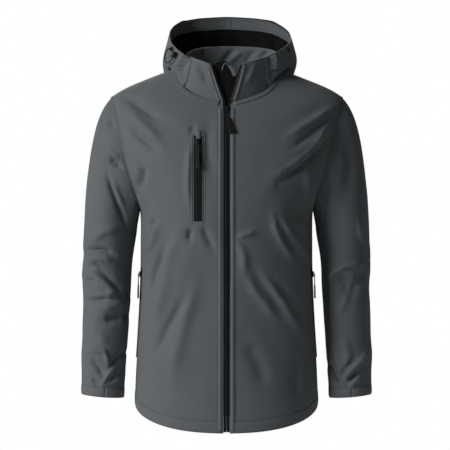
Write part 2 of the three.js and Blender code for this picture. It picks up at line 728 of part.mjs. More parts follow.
function addWindFlap() {
  const points = [];
  for (let i = 0; i <= FLAP_ROWS; i += 1) {
    points.push([0, 0.25, 0.5, 0.75, 1].map((share) => {
      const topX = curve(FLAP_TOP, 'share', share, 'x');
      const z = mix(FLAP_BOTTOM, curve(FLAP_TOP, 'share', share, 'z'), i / FLAP_ROWS);
      const spread = smooth(z, -90, -30);
      const x = mix(mix(-FLAP_HALF, FLAP_HALF, share), topX, spread);
      const neck = Math.max(z, -80);
      const face = z < -80 ? -curve(BODY, 'z', z, 'front') : collarFace(x, neck);
      return vec(x, face + mix(4, 6.4, smooth(z, -108, -88)), z);
    }));
  }
  addWall('wind_flap', points, gridNormals(points, () => vec(0, -1, 0)), TAPE, 'tape');
}

// Strip of zip tape that lies on a front, from the front's points moved out
function addPanelTape(name, side, path, width) {
  const points = path.map(({ angle, z }) => {
    const middle = body(side, angle, z);
    const reach = body(side, angle + 0.5, z).distanceTo(middle);
    const half = (0.25 * width) / reach;
    return [-1, 0, 1].map((k) => {
      const turn = angle + k * half;
      return body(side, turn, z).addScaledVector(bodyNormal(side, turn, z), SEAM + TAPE);
    });
  });
  addWall(name, points, gridNormals(points, (p) => vec(p.x, p.y, 0)), TAPE, 'tape');
}

// Merges a closed geometry to a solid, and back
function toSolid(geometry) {
  const plain = geometry.clone();
  plain.deleteAttribute('normal');
  plain.deleteAttribute('uv');
  const merged = mergeVertices(plain, 1e-4);
  return new wasm.Manifold(new wasm.Mesh({
    numProp: 3,
    vertProperties: new Float32Array(merged.attributes.position.array),
    triVerts: new Uint32Array(merged.index.array),
  }));
}

function toGeometry(solid) {
  const mesh = solid.getMesh();
  const geometry = new THREE.BufferGeometry();
  geometry.setAttribute('position', new THREE.Float32BufferAttribute(mesh.vertProperties, 3));
  geometry.setIndex(new THREE.Uint32BufferAttribute(mesh.triVerts, 1));
  return geometry;
}

// Zip slider in its own frame: x across, y up the zip, z out of the cloth, back face at SEAM
const SLIDER = { length: 12, top: 4.4, bottom: 3.2, thick: 3.0 };
const BRIDGE = { inner: 1.8, outer: 3.4, width: 2.2 };
const AXIS_OUT = SEAM + SLIDER.thick + 2.2;     // pivot above the tape
function sliderGeometry() {
  const half = SLIDER.length / 2;
  const outline = new THREE.Shape();
  outline.moveTo(-SLIDER.bottom, -half + 1);
  outline.quadraticCurveTo(-SLIDER.bottom, -half, -SLIDER.bottom + 1, -half);
  outline.lineTo(SLIDER.bottom - 1, -half);
  outline.quadraticCurveTo(SLIDER.bottom, -half, SLIDER.bottom, -half + 1);
  outline.lineTo(SLIDER.top, half - 2);
  outline.quadraticCurveTo(SLIDER.top, half, SLIDER.top - 2, half);
  outline.lineTo(-SLIDER.top + 2, half);
  outline.quadraticCurveTo(-SLIDER.top, half, -SLIDER.top, half - 2);
  outline.closePath();
  const base = new THREE.ExtrudeGeometry(outline, {
    depth: SLIDER.thick, bevelEnabled: false, curveSegments: 3,
  });
  base.translate(0, 0, SEAM);
  const foot = SEAM + SLIDER.thick - 0.3;
  const arch = new THREE.Shape();
  arch.moveTo(-BRIDGE.outer, foot);
  arch.lineTo(-BRIDGE.outer, AXIS_OUT);
  arch.absarc(0, AXIS_OUT, BRIDGE.outer, Math.PI, 0, true);
  arch.lineTo(BRIDGE.outer, foot);
  arch.lineTo(BRIDGE.inner, foot);
  arch.lineTo(BRIDGE.inner, AXIS_OUT);
  arch.absarc(0, AXIS_OUT, BRIDGE.inner, 0, Math.PI, false);
  arch.lineTo(-BRIDGE.inner, foot);
  arch.closePath();
  const bridge = new THREE.ExtrudeGeometry(arch, {
    depth: BRIDGE.width, bevelEnabled: false, curveSegments: 8,
  });
  bridge.translate(0, 0, -BRIDGE.width / 2);
  bridge.applyMatrix4(new THREE.Matrix4().makeBasis(vec(0, 1, 0), vec(0, 0, 1), vec(1, 0, 0)));
  return toGeometry(toSolid(base).add(toSolid(bridge)));
}

// Zip pull: a bar in the slider's bridge, two side rails, a neck and a grip
const BAR = 1.0;                // half height of the bar
const PLATE = 1.6;              // thickness of the pull
function pullGeometry(spec) {
  const { rail, eye, neck, grip, length } = spec;
  const shape = new THREE.Shape();
  const gripTop = -(length - spec.gripLength);
  shape.moveTo(-rail + 0.6, BAR);
  shape.lineTo(rail - 0.6, BAR);
  shape.lineTo(rail, BAR - 0.6);
  shape.lineTo(rail, -5.6);
  shape.lineTo(neck, -8);
  shape.lineTo(neck, gripTop);
  shape.lineTo(grip, gripTop - 2.5);
  shape.lineTo(grip, -length + 2);
  shape.quadraticCurveTo(grip, -length, grip - 2, -length);
  shape.lineTo(-grip + 2, -length);
  shape.quadraticCurveTo(-grip, -length, -grip, -length + 2);
  shape.lineTo(-grip, gripTop - 2.5);
  shape.lineTo(-neck, gripTop);
  shape.lineTo(-neck, -8);
  shape.lineTo(-rail, -5.6);
  shape.lineTo(-rail, BAR - 0.6);
  shape.closePath();
  const hole = new THREE.Path();
  hole.moveTo(-eye, -BAR);
  hole.lineTo(-eye, -5.2);
  hole.lineTo(eye, -5.2);
  hole.lineTo(eye, -BAR);
  hole.closePath();
  shape.holes.push(hole);
  const plate = new THREE.ExtrudeGeometry(shape, { depth: PLATE, bevelEnabled: false, curveSegments: 3 });
  return plate.translate(0, 0, -PLATE / 2);
}

// Places a slider and its pull on a zip: out is the height of the tape's face above the front. A pull tilts
// sideways and leans towards the cloth by angles in degrees.
const PULLS = {
  main: { rail: 4, eye: 2.4, neck: 2.2, grip: 7.5, gripLength: 28, length: 61, tilt: 11, lean: 8 },
  chest: { rail: 3, eye: 1.5, neck: 1.6, grip: 4.2, gripLength: 30, length: 57, tilt: 0, lean: 3 },
  pocket: { rail: 3, eye: 1.5, neck: 1.6, grip: 3.6, gripLength: 27, length: 50, tilt: 0, lean: 0 },
};
function addZipEnd(kind, word, side, angle, z, out) {
  const normal = bodyNormal(side, angle, z);
  const up = body(side, angle, z + 3).sub(body(side, angle, z - 3)).normalize();
  const across = up.clone().cross(normal).normalize();
  up.crossVectors(normal, across).normalize();
  const place = body(side, angle, z).addScaledVector(normal, out);
  const slider = addMesh(`${kind}_slider${word}`, sliderGeometry(), 'slider');
  slider.position.copy(place);
  slider.quaternion.setFromRotationMatrix(new THREE.Matrix4().makeBasis(across, up, normal));
  const pull = addMesh(`${kind}_pull${word}`, pullGeometry(PULLS[kind]), 'grip');
  pull.position.copy(place).addScaledVector(normal, AXIS_OUT);
  pull.quaternion.copy(slider.quaternion);
  pull.rotateZ(radians(PULLS[kind].tilt));
  pull.rotateX(radians(PULLS[kind].lean));
}

// Chest zip and hand pocket zips: their paths on the fronts
const CHEST = { x: -58, top: -150, bottom: -322, width: 16, slider: -163 };
const POCKET = { topAngle: 75, top: -418, bottomAngle: 86, bottom: -606, width: 9, slider: -432 };
const STRIP_STEPS = 9;
function addChestZip() {
  const path = [];
  for (let i = 0; i <= STRIP_STEPS; i += 1) {
    const z = mix(CHEST.bottom, CHEST.top, i / STRIP_STEPS);
    path.push({ angle: angleAt(CHEST.x, z), z });
  }
  addPanelTape('chest_tape', -1, path, CHEST.width);
  addZipEnd('chest', '', -1, angleAt(CHEST.x, CHEST.slider), CHEST.slider, SEAM + TAPE);
}

function addPocketZip(word, side) {
  const path = [];
  for (let i = 0; i <= STRIP_STEPS; i += 1) {
    const share = i / STRIP_STEPS;
    const angle = mix(POCKET.bottomAngle, POCKET.topAngle, share);
    path.push({ angle, z: mix(POCKET.bottom, POCKET.top, share) });
  }
  addPanelTape(`pocket_tape_${word}`, side, path, POCKET.width);
  const share = (POCKET.slider - POCKET.bottom) / (POCKET.top - POCKET.bottom);
  const angle = mix(POCKET.bottomAngle, POCKET.topAngle, share);
  addZipEnd('pocket', `_${word}`, side, angle, POCKET.slider, SEAM + TAPE);
}

// Hood cord: an eyelet on each side near the rim, and on the right a small loop that ends in a stopper.
// Angles and shares are places on the hood, and off is the distance from its outer skin.
const CORD = { radius: 1.5, steps: 20, sides: 8 };
const STOPPER = { radius: 4.5, length: 12, angle: 44, share: 0.84, off: 4.9 };
const EYELET = { angle: 64, share: 0.9, radius: 5, height: 2.4 };
// The loop's middle line: straight out of the eyelet, down under its weight, and up into the stopper
const LOOP = [
  { x: -116.7, y: -44.1, z: 35.4 },
  { x: -119.2, y: -45.2, z: 35.3 },
  { x: -121.7, y: -45.8, z: 34.0 },
  { x: -123.9, y: -45.5, z: 31.6 },
  { x: -125.6, y: -44.5, z: 28.6 },
  { x: -126.9, y: -43.2, z: 25.2 },
  { x: -127.8, y: -42.1, z: 21.7 },
  { x: -128.3, y: -41.7, z: 18.1 },
  { x: -128.3, y: -42.1, z: 14.5 },
  { x: -127.7, y: -43.4, z: 11.3 },
  { x: -126.4, y: -45.4, z: 8.6 },
  { x: -124.7, y: -47.9, z: 6.8 },
  { x: -122.6, y: -50.7, z: 6.0 },
  { x: -120.3, y: -53.6, z: 6.1 },
  { x: -117.8, y: -56.5, z: 7.0 },
  { x: -115.6, y: -59.0, z: 8.7 },
  { x: -113.7, y: -60.9, z: 10.9 },
  { x: -112.2, y: -62.1, z: 13.3 },
  { x: -111.2, y: -62.8, z: 15.2 },
];
function onHood(side, angle, share, off) {
  const place = hoodPlace(side, angle, share);
  const round = hoodPlace(side, angle + 2, share).sub(hoodPlace(side, angle - 2, share));
  const rise = hoodPlace(side, angle, Math.min(share + 0.03, 1)).sub(hoodPlace(side, angle, share - 0.03));
  const normal = round.cross(rise).normalize();
  if (normal.dot(hoodOut(place)) < 0) normal.negate();
  return { place: place.clone().addScaledVector(normal, off), normal, rise: rise.normalize() };
}

function addEyelet(name, side) {
  const { place, normal } = onHood(side, EYELET.angle, EYELET.share, 0.5);
  const { radius, height } = EYELET;
  const profile = [[0.4, 0], [radius, 0], [radius, height * 0.5], [radius * 0.8, height], [0.4, height]];
  profile.push(profile[0]);
  const ring = new THREE.LatheGeometry(profile.map(([x, y]) => new THREE.Vector2(x, y)), 14);
  ring.deleteAttribute('normal');
  ring.deleteAttribute('uv');
  const mesh = addMesh(name, faceOutwards(mergeVertices(ring, 1e-4)), 'slider');
  mesh.position.copy(place);
  mesh.quaternion.setFromUnitVectors(vec(0, 1, 0), normal);
}

function addHoodCord() {
  const { place, rise } = onHood(-1, STOPPER.angle, STOPPER.share, STOPPER.off);
  const stopper = new THREE.CylinderGeometry(STOPPER.radius, STOPPER.radius * 0.85, STOPPER.length, 12);
  const mesh = addMesh('hood_stopper', stopper, 'grip');
  mesh.position.copy(place);
  mesh.quaternion.setFromUnitVectors(vec(0, 1, 0), rise);
  const section = new THREE.Shape();
  section.absarc(0, 0, CORD.radius, 0, 2 * Math.PI, false);
  const path = new THREE.CatmullRomCurve3(LOOP.map(({ x, y, z }) => vec(x, y, z)));
  const tube = new THREE.ExtrudeGeometry(section, {
    steps: CORD.steps, extrudePath: path, curveSegments: CORD.sides / 2, bevelEnabled: false,
  });
  addMesh('hood_cord', tube, 'tape');
}

addFront('front_left', 1);
addFront('front_right', -1);
addBack();
for (const [word, side] of [['left', 1], ['right', -1]]) {
  addSleevePiece(`sleeve_${word}_upper`, side, false);
  addSleevePiece(`sleeve_${word}_under`, side, true);
  addZipTape(`zip_tape_${word}`, side);
  addPocketZip(word, side);
}
addCollar();
addFacing(addHood());
addWindFlap();
addEyelet('hood_eyelet_right', -1);
addHoodCord();
addZipEnd('main', '', 1, 0, SLIDER_HEIGHT, -TAPE_SINK);
addChestZip();

export default jacket;
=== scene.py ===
# %% [markdown]
# # A softshell jacket, dressed around its construction model
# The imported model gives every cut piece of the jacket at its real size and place, as plain walls of cloth.
# This lesson copies each wall, makes it smooth, lays the creases into it by hand, and then adds what a
# tailor and a zip maker add: topstitching, zip coils, sliders, pulls, eyelets and the hood's cord.
# All lengths are in metres. The wearer faces -Y, and +X is the wearer's left.

import json
import math

import bmesh
import bpy
import numpy as np
from mathutils import Matrix, Vector
from mathutils.bvhtree import BVHTree
from mathutils.kdtree import KDTree


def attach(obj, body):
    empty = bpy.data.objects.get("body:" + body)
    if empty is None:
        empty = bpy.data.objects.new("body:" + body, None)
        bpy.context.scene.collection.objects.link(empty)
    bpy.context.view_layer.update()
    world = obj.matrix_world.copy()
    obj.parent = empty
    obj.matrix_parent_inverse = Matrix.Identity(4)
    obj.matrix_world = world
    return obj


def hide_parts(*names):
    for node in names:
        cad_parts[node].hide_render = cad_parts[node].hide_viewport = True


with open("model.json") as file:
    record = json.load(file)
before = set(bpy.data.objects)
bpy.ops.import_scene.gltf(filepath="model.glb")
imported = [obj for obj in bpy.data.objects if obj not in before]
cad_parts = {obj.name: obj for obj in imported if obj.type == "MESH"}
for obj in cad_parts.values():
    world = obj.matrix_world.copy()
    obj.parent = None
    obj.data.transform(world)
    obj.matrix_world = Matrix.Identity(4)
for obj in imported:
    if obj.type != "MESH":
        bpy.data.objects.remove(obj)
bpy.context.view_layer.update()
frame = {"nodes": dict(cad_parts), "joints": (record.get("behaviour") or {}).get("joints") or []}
scene = bpy.context.scene
BODY = "jacket"
MM = 0.001

# %% [markdown]
# ## Camera
# The photograph looks straight at the chest from far away, so a long lens stands level in front. A long lens
# keeps the sleeves and the belly of the jacket at nearly one scale, as the photograph does.

# %% Camera
CAMERA_X = -0.00315
CAMERA_DISTANCE = 3.4
CAMERA_HEIGHT = -0.330
VIEW_WIDTH = 0.945              # what the frame shows at the plane through the shoulders
SENSOR = 36.0

camera_data = bpy.data.cameras.new("camera")
camera = bpy.data.objects.new("camera", camera_data)
scene.collection.objects.link(camera)
camera.location = (CAMERA_X, -CAMERA_DISTANCE, CAMERA_HEIGHT)
camera.rotation_euler = (math.radians(90), 0, 0)
camera_data.sensor_width = SENSOR
camera_data.lens = SENSOR * CAMERA_DISTANCE / VIEW_WIDTH
scene.camera = camera
print("camera: lens", round(camera_data.lens, 1), "mm")

# %% [markdown]
# ## The hood's cord
# A thin braided elastic cord leaves the eyelet beside the hood's rim, hangs in a small loop and ends in its
# stopper. A tube swept along a few given points is enough. The tube is made in mesh code, so that the braid
# can be a real relief that winds round it in both directions.

# %% The hood's cord
CORD_RADIUS = 1.5 * MM
CORD_ROUTE = [Vector(p) * MM for p in (
    (-116.7, -44.1, 35.4), (-119.2, -45.2, 35.3), (-121.7, -45.8, 34.0), (-123.9, -45.5, 31.6),
    (-125.6, -44.5, 28.6), (-126.9, -43.2, 25.2), (-127.8, -42.1, 21.7), (-128.3, -41.7, 18.1),
    (-128.3, -42.1, 14.5), (-127.7, -43.4, 11.3), (-126.4, -45.4, 8.6), (-124.7, -47.9, 6.8),
    (-122.6, -50.7, 6.0), (-120.3, -53.6, 6.1), (-117.8, -56.5, 7.0), (-115.6, -59.0, 8.7),
    (-113.7, -60.9, 10.9), (-112.2, -62.1, 13.3), (-111.2, -62.8, 15.2),
)]


def new_piece(name, mesh):
    """Links a mesh as a named piece at the origin."""
    mesh.name = name
    piece = bpy.data.objects.new(name, mesh)
    scene.collection.objects.link(piece)
    return piece


def smooth_route(route, steps):
    """A Catmull-Rom line through the points of a route."""
    line = []
    for i in range(len(route) - 1):
        a, b, c, d = (route[max(0, min(len(route) - 1, i + k))] for k in (-1, 0, 1, 2))
        for s in range(steps):
            t = s / steps
            line.append(b + 0.5 * t * ((c - a) + t * ((2 * a - 5 * b + 4 * c - d) + t * (3 * (b - c) + d - a))))
    line.append(route[-1].copy())
    return line


def tube(name, line, radius, sides, braid=0.0):
    """A closed tube along a line. braid is the share of the radius that its strands stand up."""
    mesh = bpy.data.meshes.new(name)
    made = bmesh.new()
    side = Vector((0.3, 0.2, 1)).normalized()
    rings = []
    along = 0.0
    for i, point in enumerate(line):
        ahead = (line[min(i + 1, len(line) - 1)] - line[max(i - 1, 0)]).normalized()
        side = (side - ahead * side.dot(ahead)).normalized()
        other = ahead.cross(side)
        along += (point - line[i - 1]).length if i else 0.0
        ring = []
        for k in range(sides):
            turn = 2 * math.pi * k / sides
            wind = along / radius * 0.9
            strand = math.sin(4 * turn + wind) * math.sin(4 * turn - wind)
            reach = radius * (1 + braid * strand)
            ring.append(made.verts.new(point + (side * math.cos(turn) + other * math.sin(turn)) * reach))
        rings.append(ring)
    for a, b in zip(rings, rings[1:]):
        for k in range(sides):
            made.faces.new((a[k], a[(k + 1) % sides], b[(k + 1) % sides], b[k]))
    made.faces.new(rings[0][::-1])
    made.faces.new(rings[-1])
    bmesh.ops.recalc_face_normals(made, faces=made.faces)
    for face in made.faces:
        face.smooth = len(face.verts) == 4
    made.to_mesh(mesh)
    made.free()
    return new_piece(name, mesh)


cord_line = smooth_route(CORD_ROUTE, 6)
cord = tube("hood_cord_braid", cord_line, CORD_RADIUS, 16, braid=0.07)
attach(cord, BODY)
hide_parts("hood_cord")

# %% [markdown]
# ## Floor and light
# A product photograph of dark cloth needs a big soft light, or every fold turns black. Here one large panel
# stands high on the left and does most of the work, a weak one fills in from the right, and the backdrop is
# white only to the camera, so that it doesn't wash out the shaded side.

# %% Floor and light
FLOOR_HEIGHT = -1.0
FLOOR_SIZE = 2.7
LIGHTS = {
    "key": {"place": (-2.9, -1.9, 1.0), "size": 1.7, "watts": 112},
    "fill": {"place": (2.4, -2.6, 0.2), "size": 2.2, "watts": 2.2},
    "back": {"place": (-0.6, 2.6, 1.6), "size": 2.2, "watts": 34},
}


def plain_material(name, colour, roughness):
    """A material with one colour, for what is not part of the jacket."""
    made = bpy.data.materials.new(name)
    made.use_nodes = True
    shader = made.node_tree.nodes["Principled BSDF"]
    shader.inputs["Base Color"].default_value = (*colour, 1)
    shader.inputs["Roughness"].default_value = roughness
    return made


def add_floor():
    bpy.ops.mesh.primitive_plane_add(size=FLOOR_SIZE, location=(0, 0, FLOOR_HEIGHT))
    floor = bpy.context.object
    floor.name = "floor"
    floor.data.materials.append(plain_material("pale_floor", (0.82, 0.82, 0.82), 0.9))


def add_light(name, place, size, watts):
    data = bpy.data.lights.new(name, "AREA")
    data.shape = "SQUARE"
    data.size = size
    data.energy = watts
    light = bpy.data.objects.new(name, data)
    scene.collection.objects.link(light)
    light.location = place
    aim = Vector((0, 0, -0.35)) - Vector(place)
    light.rotation_euler = aim.to_track_quat("-Z", "Y").to_euler()


def add_backdrop():
    """The world: white to the camera, a soft grey to everything else."""
    world = bpy.data.worlds.new("studio")
    scene.world = world
    world.use_nodes = True
    nodes, links = world.node_tree.nodes, world.node_tree.links
    shown = nodes["Background"]
    shown.inputs["Color"].default_value = (1, 1, 1, 1)
    shown.inputs["Strength"].default_value = 1.0
    lit = nodes.new("ShaderNodeBackground")
    lit.inputs["Color"].default_value = (0.93, 0.96, 1.0, 1)
    lit.inputs["Strength"].default_value = 0.10
    path = nodes.new("ShaderNodeLightPath")
    mixer = nodes.new("ShaderNodeMixShader")
    links.new(path.outputs["Is Camera Ray"], mixer.inputs["Fac"])
    links.new(lit.outputs["Background"], mixer.inputs[1])
    links.new(shown.outputs["Background"], mixer.inputs[2])
    links.new(mixer.outputs["Shader"], nodes["World Output"].inputs["Surface"])


for piece in bpy.context.selected_objects:
    piece.select_set(False)
add_floor()
for light_name, light_facts in LIGHTS.items():
    add_light(light_name, **light_facts)
add_backdrop()
scene.view_settings.view_transform = "Standard"
print("lights:", ", ".join(LIGHTS))

# %% [markdown]
# ## Shader groups
# Three effects come back in many materials: the fine knit of the cloth, the soft unevenness that cloth gets
# from wear and handling, and the brushed pile of fleece. Each is a node group, built once. A group puts
# out only heights, masks and colours, and the shader itself stays in the material.

# %% Shader groups
def new_group(name, inputs, outputs):
    """A shader node group with float inputs and the outputs that are named."""
    group = bpy.data.node_groups.new(name, "ShaderNodeTree")
    for label, start in inputs.items():
        kind = "NodeSocketColor" if isinstance(start, tuple) else "NodeSocketFloat"
        socket = group.interface.new_socket(name=label, in_out="INPUT", socket_type=kind)
        socket.default_value = start
    for label, kind in outputs.items():
        group.interface.new_socket(name=label, in_out="OUTPUT", socket_type=kind)
    return group, group.nodes.new("NodeGroupInput"), group.nodes.new("NodeGroupOutput")


def math_node(tree, operation, a, b=None):
    """A Math node. a and b are sockets or numbers."""
    node = tree.nodes.new("ShaderNodeMath")
    node.operation = operation
    for socket, value in zip(node.inputs, (a, b)):
        if value is None:
            continue
        if isinstance(value, (int, float)):
            socket.default_value = value
        else:
            tree.links.new(value, socket)
    return node.outputs["Value"]


def noise_node(tree, vector, scale, detail, roughness=0.5):
    node = tree.nodes.new("ShaderNodeTexNoise")
    node.inputs["Scale"].default_value = scale
    node.inputs["Detail"].default_value = detail
    node.inputs["Roughness"].default_value = roughness
    tree.links.new(vector, node.inputs["Vector"])
    return node.outputs["Fac"]


def knit_group():
    """Rows of tiny loops on the cloth's own map, with a few darker and lighter yarns."""
    group, given, result = new_group(
        "knit", {"Pitch": 0.0009, "Yarn contrast": 0.3},
        {"Height": "NodeSocketFloat", "Mask": "NodeSocketFloat"},
    )
    where = group.nodes.new("ShaderNodeAttribute")
    where.attribute_name = "cloth_map"
    split = group.nodes.new("ShaderNodeSeparateXYZ")
    group.links.new(where.outputs["Vector"], split.inputs["Vector"])
    waves = []
    for axis in ("X", "Y"):
        turns = math_node(group, "DIVIDE", split.outputs[axis], given.outputs["Pitch"])
        turns = math_node(group, "MULTIPLY", turns, 2 * math.pi)
        waves.append(math_node(group, "SINE", turns))
    loops = math_node(group, "MULTIPLY", waves[0], waves[1])
    yarn = noise_node(group, where.outputs["Vector"], 900, 2, 0.6)
    height = math_node(group, "ADD", math_node(group, "MULTIPLY", loops, 0.5), yarn)
    group.links.new(height, result.inputs["Height"])
    flecks = math_node(group, "SUBTRACT", yarn, 0.5)
    mask = math_node(group, "MULTIPLY", flecks, given.outputs["Yarn contrast"])
    group.links.new(math_node(group, "ADD", mask, 0.5), result.inputs["Mask"])
    return group


def wear_group():
    """Broad, soft patches and fine dust, the same in every material that is handled."""
    group, given, result = new_group(
        "handling", {"Patch size": 6.0, "Dust size": 160.0},
        {"Patches": "NodeSocketFloat", "Dust": "NodeSocketFloat"},
    )
    where = group.nodes.new("ShaderNodeTexCoord")
    for label, size, detail in (("Patches", "Patch size", 3), ("Dust", "Dust size", 4)):
        node = group.nodes.new("ShaderNodeTexNoise")
        node.inputs["Detail"].default_value = detail
        group.links.new(where.outputs["Object"], node.inputs["Vector"])
        group.links.new(given.outputs[size], node.inputs["Scale"])
        group.links.new(node.outputs["Fac"], result.inputs[label])
    return group


def pile_group():
    """The short brushed pile of fleece: soft clumps with fibres on them."""
    group, given, result = new_group("pile", {"Clump size": 420.0}, {"Height": "NodeSocketFloat"})
    where = group.nodes.new("ShaderNodeTexCoord")
    clumps = group.nodes.new("ShaderNodeTexVoronoi")
    group.links.new(where.outputs["Object"], clumps.inputs["Vector"])
    group.links.new(given.outputs["Clump size"], clumps.inputs["Scale"])
    fibres = noise_node(group, where.outputs["Object"], 1800, 3, 0.7)
    total = math_node(group, "ADD", clumps.outputs["Distance"], fibres)
    group.links.new(total, result.inputs["Height"])
    return group


GROUPS = {"knit": knit_group(), "handling": wear_group(), "pile": pile_group()}
print("groups:", ", ".join(GROUPS))

# %% [markdown]
# ## Materials
# Softshell has a matt woven face and a brushed black back. Its grey is a mix of yarns, so the colour moves a
# little from place to place. The zips are black tape with moulded coils, painted metal sliders and rubbery
# grips. Every material takes its bump from the groups, each with its own strength.

# %% Materials
def group_node(tree, name, **values):
    node = tree.nodes.new("ShaderNodeGroup")
    node.node_tree = GROUPS[name]
    for label, value in values.items():
        node.inputs[label.replace("_", " ")].default_value = value
    return node


def colour_ramp(tree, factor, dark, light):
    """Mixes two colours by a factor and returns the colour's socket."""
    node = tree.nodes.new("ShaderNodeMix")
    node.data_type = "RGBA"
    node.inputs[6].default_value = (*dark, 1)
    node.inputs[7].default_value = (*light, 1)
    tree.links.new(factor, node.inputs[0])
    return node.outputs[2]


def new_material(name, dark, light, roughness, metallic=0.0, sheen=0.0, gloss=0.5, height="knit",
                 depth=0.0002, bump=0.35, **group_values):
    """A material whose colour runs from dark to light, with a bump from one of the groups."""
    made = bpy.data.materials.new(name)
    made.use_nodes = True
    tree = made.node_tree
    shader = tree.nodes["Principled BSDF"]
    shader.inputs["Metallic"].default_value = metallic
    shader.inputs["Sheen Weight"].default_value = sheen
    shader.inputs["Sheen Roughness"].default_value = 0.6
    shader.inputs["Specular IOR Level"].default_value = gloss
    relief = group_node(tree, height, **group_values)
    handling = group_node(tree, "handling")
    factor = handling.outputs["Patches"]
    if "Mask" in relief.outputs:
        factor = math_node(tree, "ADD", factor, math_node(tree, "SUBTRACT", relief.outputs["Mask"], 0.5))
    else:
        factor = math_node(tree, "MULTIPLY", factor, handling.outputs["Dust"])
        factor = math_node(tree, "MULTIPLY", factor, 2.0)
    tree.links.new(colour_ramp(tree, factor, dark, light), shader.inputs["Base Color"])
    spread = math_node(tree, "MULTIPLY", math_node(tree, "SUBTRACT", handling.outputs["Dust"], 0.5), 0.12)
    tree.links.new(math_node(tree, "ADD", spread, roughness), shader.inputs["Roughness"])
    bumps = tree.nodes.new("ShaderNodeBump")
    bumps.inputs["Strength"].default_value = bump
    bumps.inputs["Distance"].default_value = depth
    height_out = relief.outputs["Height"] if "Height" in relief.outputs else relief.outputs["Dust"]
    tree.links.new(height_out, bumps.inputs["Height"])
    tree.links.new(bumps.outputs["Normal"], shader.inputs["Normal"])
    return made


MATERIALS = {
    "shell": new_material("grey_softshell", (0.086, 0.098, 0.104), (0.114, 0.127, 0.134), 0.80, sheen=0.10),
    "fleece": new_material(
        "black_fleece", (0.0035, 0.0035, 0.004), (0.009, 0.009, 0.010), 0.95, gloss=0.15,
        height="pile", depth=0.0006, bump=0.6,
    ),
    "tape": new_material(
        "black_zip_tape", (0.004, 0.0043, 0.0047), (0.008, 0.0086, 0.0092), 0.85, gloss=0.2, Pitch=0.0006,
    ),
    "coil": new_material(
        "zip_coil", (0.007, 0.0076, 0.0082), (0.014, 0.015, 0.016), 0.5, gloss=0.35, height="handling", depth=0.0001,
        bump=0.1,
    ),
    "metal": new_material(
        "painted_metal", (0.010, 0.0105, 0.011), (0.022, 0.023, 0.025), 0.36, metallic=0.55, height="handling",
        depth=0.00005, bump=0.12,
    ),
    "grip": new_material(
        "rubber_grip", (0.005, 0.0054, 0.0058), (0.011, 0.0118, 0.0125), 0.62, gloss=0.3, height="handling",
        depth=0.0001, bump=0.15,
    ),
    "cord": new_material("braided_cord", (0.010, 0.011, 0.012), (0.028, 0.030, 0.033), 0.7, height="handling"),
    "thread": new_material("grey_thread", (0.034, 0.038, 0.041), (0.050, 0.056, 0.060), 0.6, height="handling"),
}
cord.data.materials.append(MATERIALS["cord"])
print("materials:", ", ".join(MATERIALS))

# %% [markdown]
# ## Telling the skins of a cloth wall apart
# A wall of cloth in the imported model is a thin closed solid: an outer skin, an inner skin and a narrow rim
# that joins them. The creases must be laid into the outer skin first, and the inner skin then has to follow
# it, or the cloth would tear through itself. The rim is easy to find, because only its edges are as short as
# the cloth is thick. What is left falls into two skins, and the outer one faces away from the wearer.

# %% Telling the skins apart
OUTER, INNER, RIM = 0, 1, 2


def rim_faces(made, wall):
    across = {e for e in made.edges if 0.8 * wall < e.calc_length() < 1.2 * wall}
    return {f for f in made.faces if any(e in across for e in f.edges)}, across


def patches(made, leave_out):
    """Groups of faces that touch each other, without the faces that are left out."""
    waiting = set(made.faces) - leave_out
    found = []
    while waiting:
        start = waiting.pop()
        patch, edge_of_patch = [start], [start]
        while edge_of_patch:
            face = edge_of_patch.pop()
            for edge in face.edges:
                for other in edge.link_faces:
                    if other in waiting:
                        waiting.remove(other)
                        patch.append(other)
                        edge_of_patch.append(other)
        found.append(patch)
    return found


def facing_out(patch, centre):
    """How much a patch of faces looks away from a point."""
    return sum(f.calc_area() * f.normal.dot((f.calc_center_median() - centre).normalized()) for f in patch)


def cloth_wall(node, centre, wall, levels):
    """A smooth copy of a node's wall, with each face marked as outer, inner or rim."""
    made = bmesh.new()
    made.from_mesh(frame["nodes"][node].data)
    mark = made.faces.layers.int.new("skin")
    crease = made.edges.layers.float.new("crease_edge")
    bmesh.ops.remove_doubles(made, verts=made.verts, dist=0.02 * wall)
    bmesh.ops.join_triangles(
        made, faces=made.faces, angle_face_threshold=math.radians(80), angle_shape_threshold=math.radians(80),
    )
    rim, across = rim_faces(made, wall)
    skins = sorted(patches(made, rim), key=len, reverse=True)[:2]
    outer = max(skins, key=lambda patch: facing_out(patch, centre))
    for patch in skins:
        for face in patch:
            face[mark] = OUTER if patch is outer else INNER
    for face in rim:
        face[mark] = RIM
    for edge in made.edges:
        kinds = {f[mark] for f in edge.link_faces}
        if len(kinds) == 2:
            edge[crease] = 1.0
        elif edge in across and edge.calc_face_angle(0) > math.radians(40):
            edge[crease] = 1.0
    mesh = bpy.data.meshes.new(node)
    made.to_mesh(mesh)
    made.free()
    piece = new_piece(node + "_cloth", mesh)
    rounding = piece.modifiers.new("rounding", "SUBSURF")
    rounding.levels = rounding.render_levels = levels
    rounding.boundary_smooth = "PRESERVE_CORNERS"
    bpy.context.view_layer.objects.active = piece
    bpy.ops.object.modifier_apply(modifier=rounding.name)
    return piece


print("skins: outer, inner and rim are told apart by edges as short as the cloth is thick")

# %% [markdown]
# ## Creases as strokes
# Worn cloth creases where the body pulls or pushes it: from the chest to the armpit, round the elbow, above
# the cuff. A cloth simulation would find creases of its own, but not the ones in the photograph, so each one
# is a stroke given one by one: the points that it runs through, its width, and its height, which is negative
# for a trough. Both ends fade out. The strokes were read off the photograph and turned into millimetres.

# %% Strokes
STROKE_GAIN = 2.3              # the strokes were first read too shallow


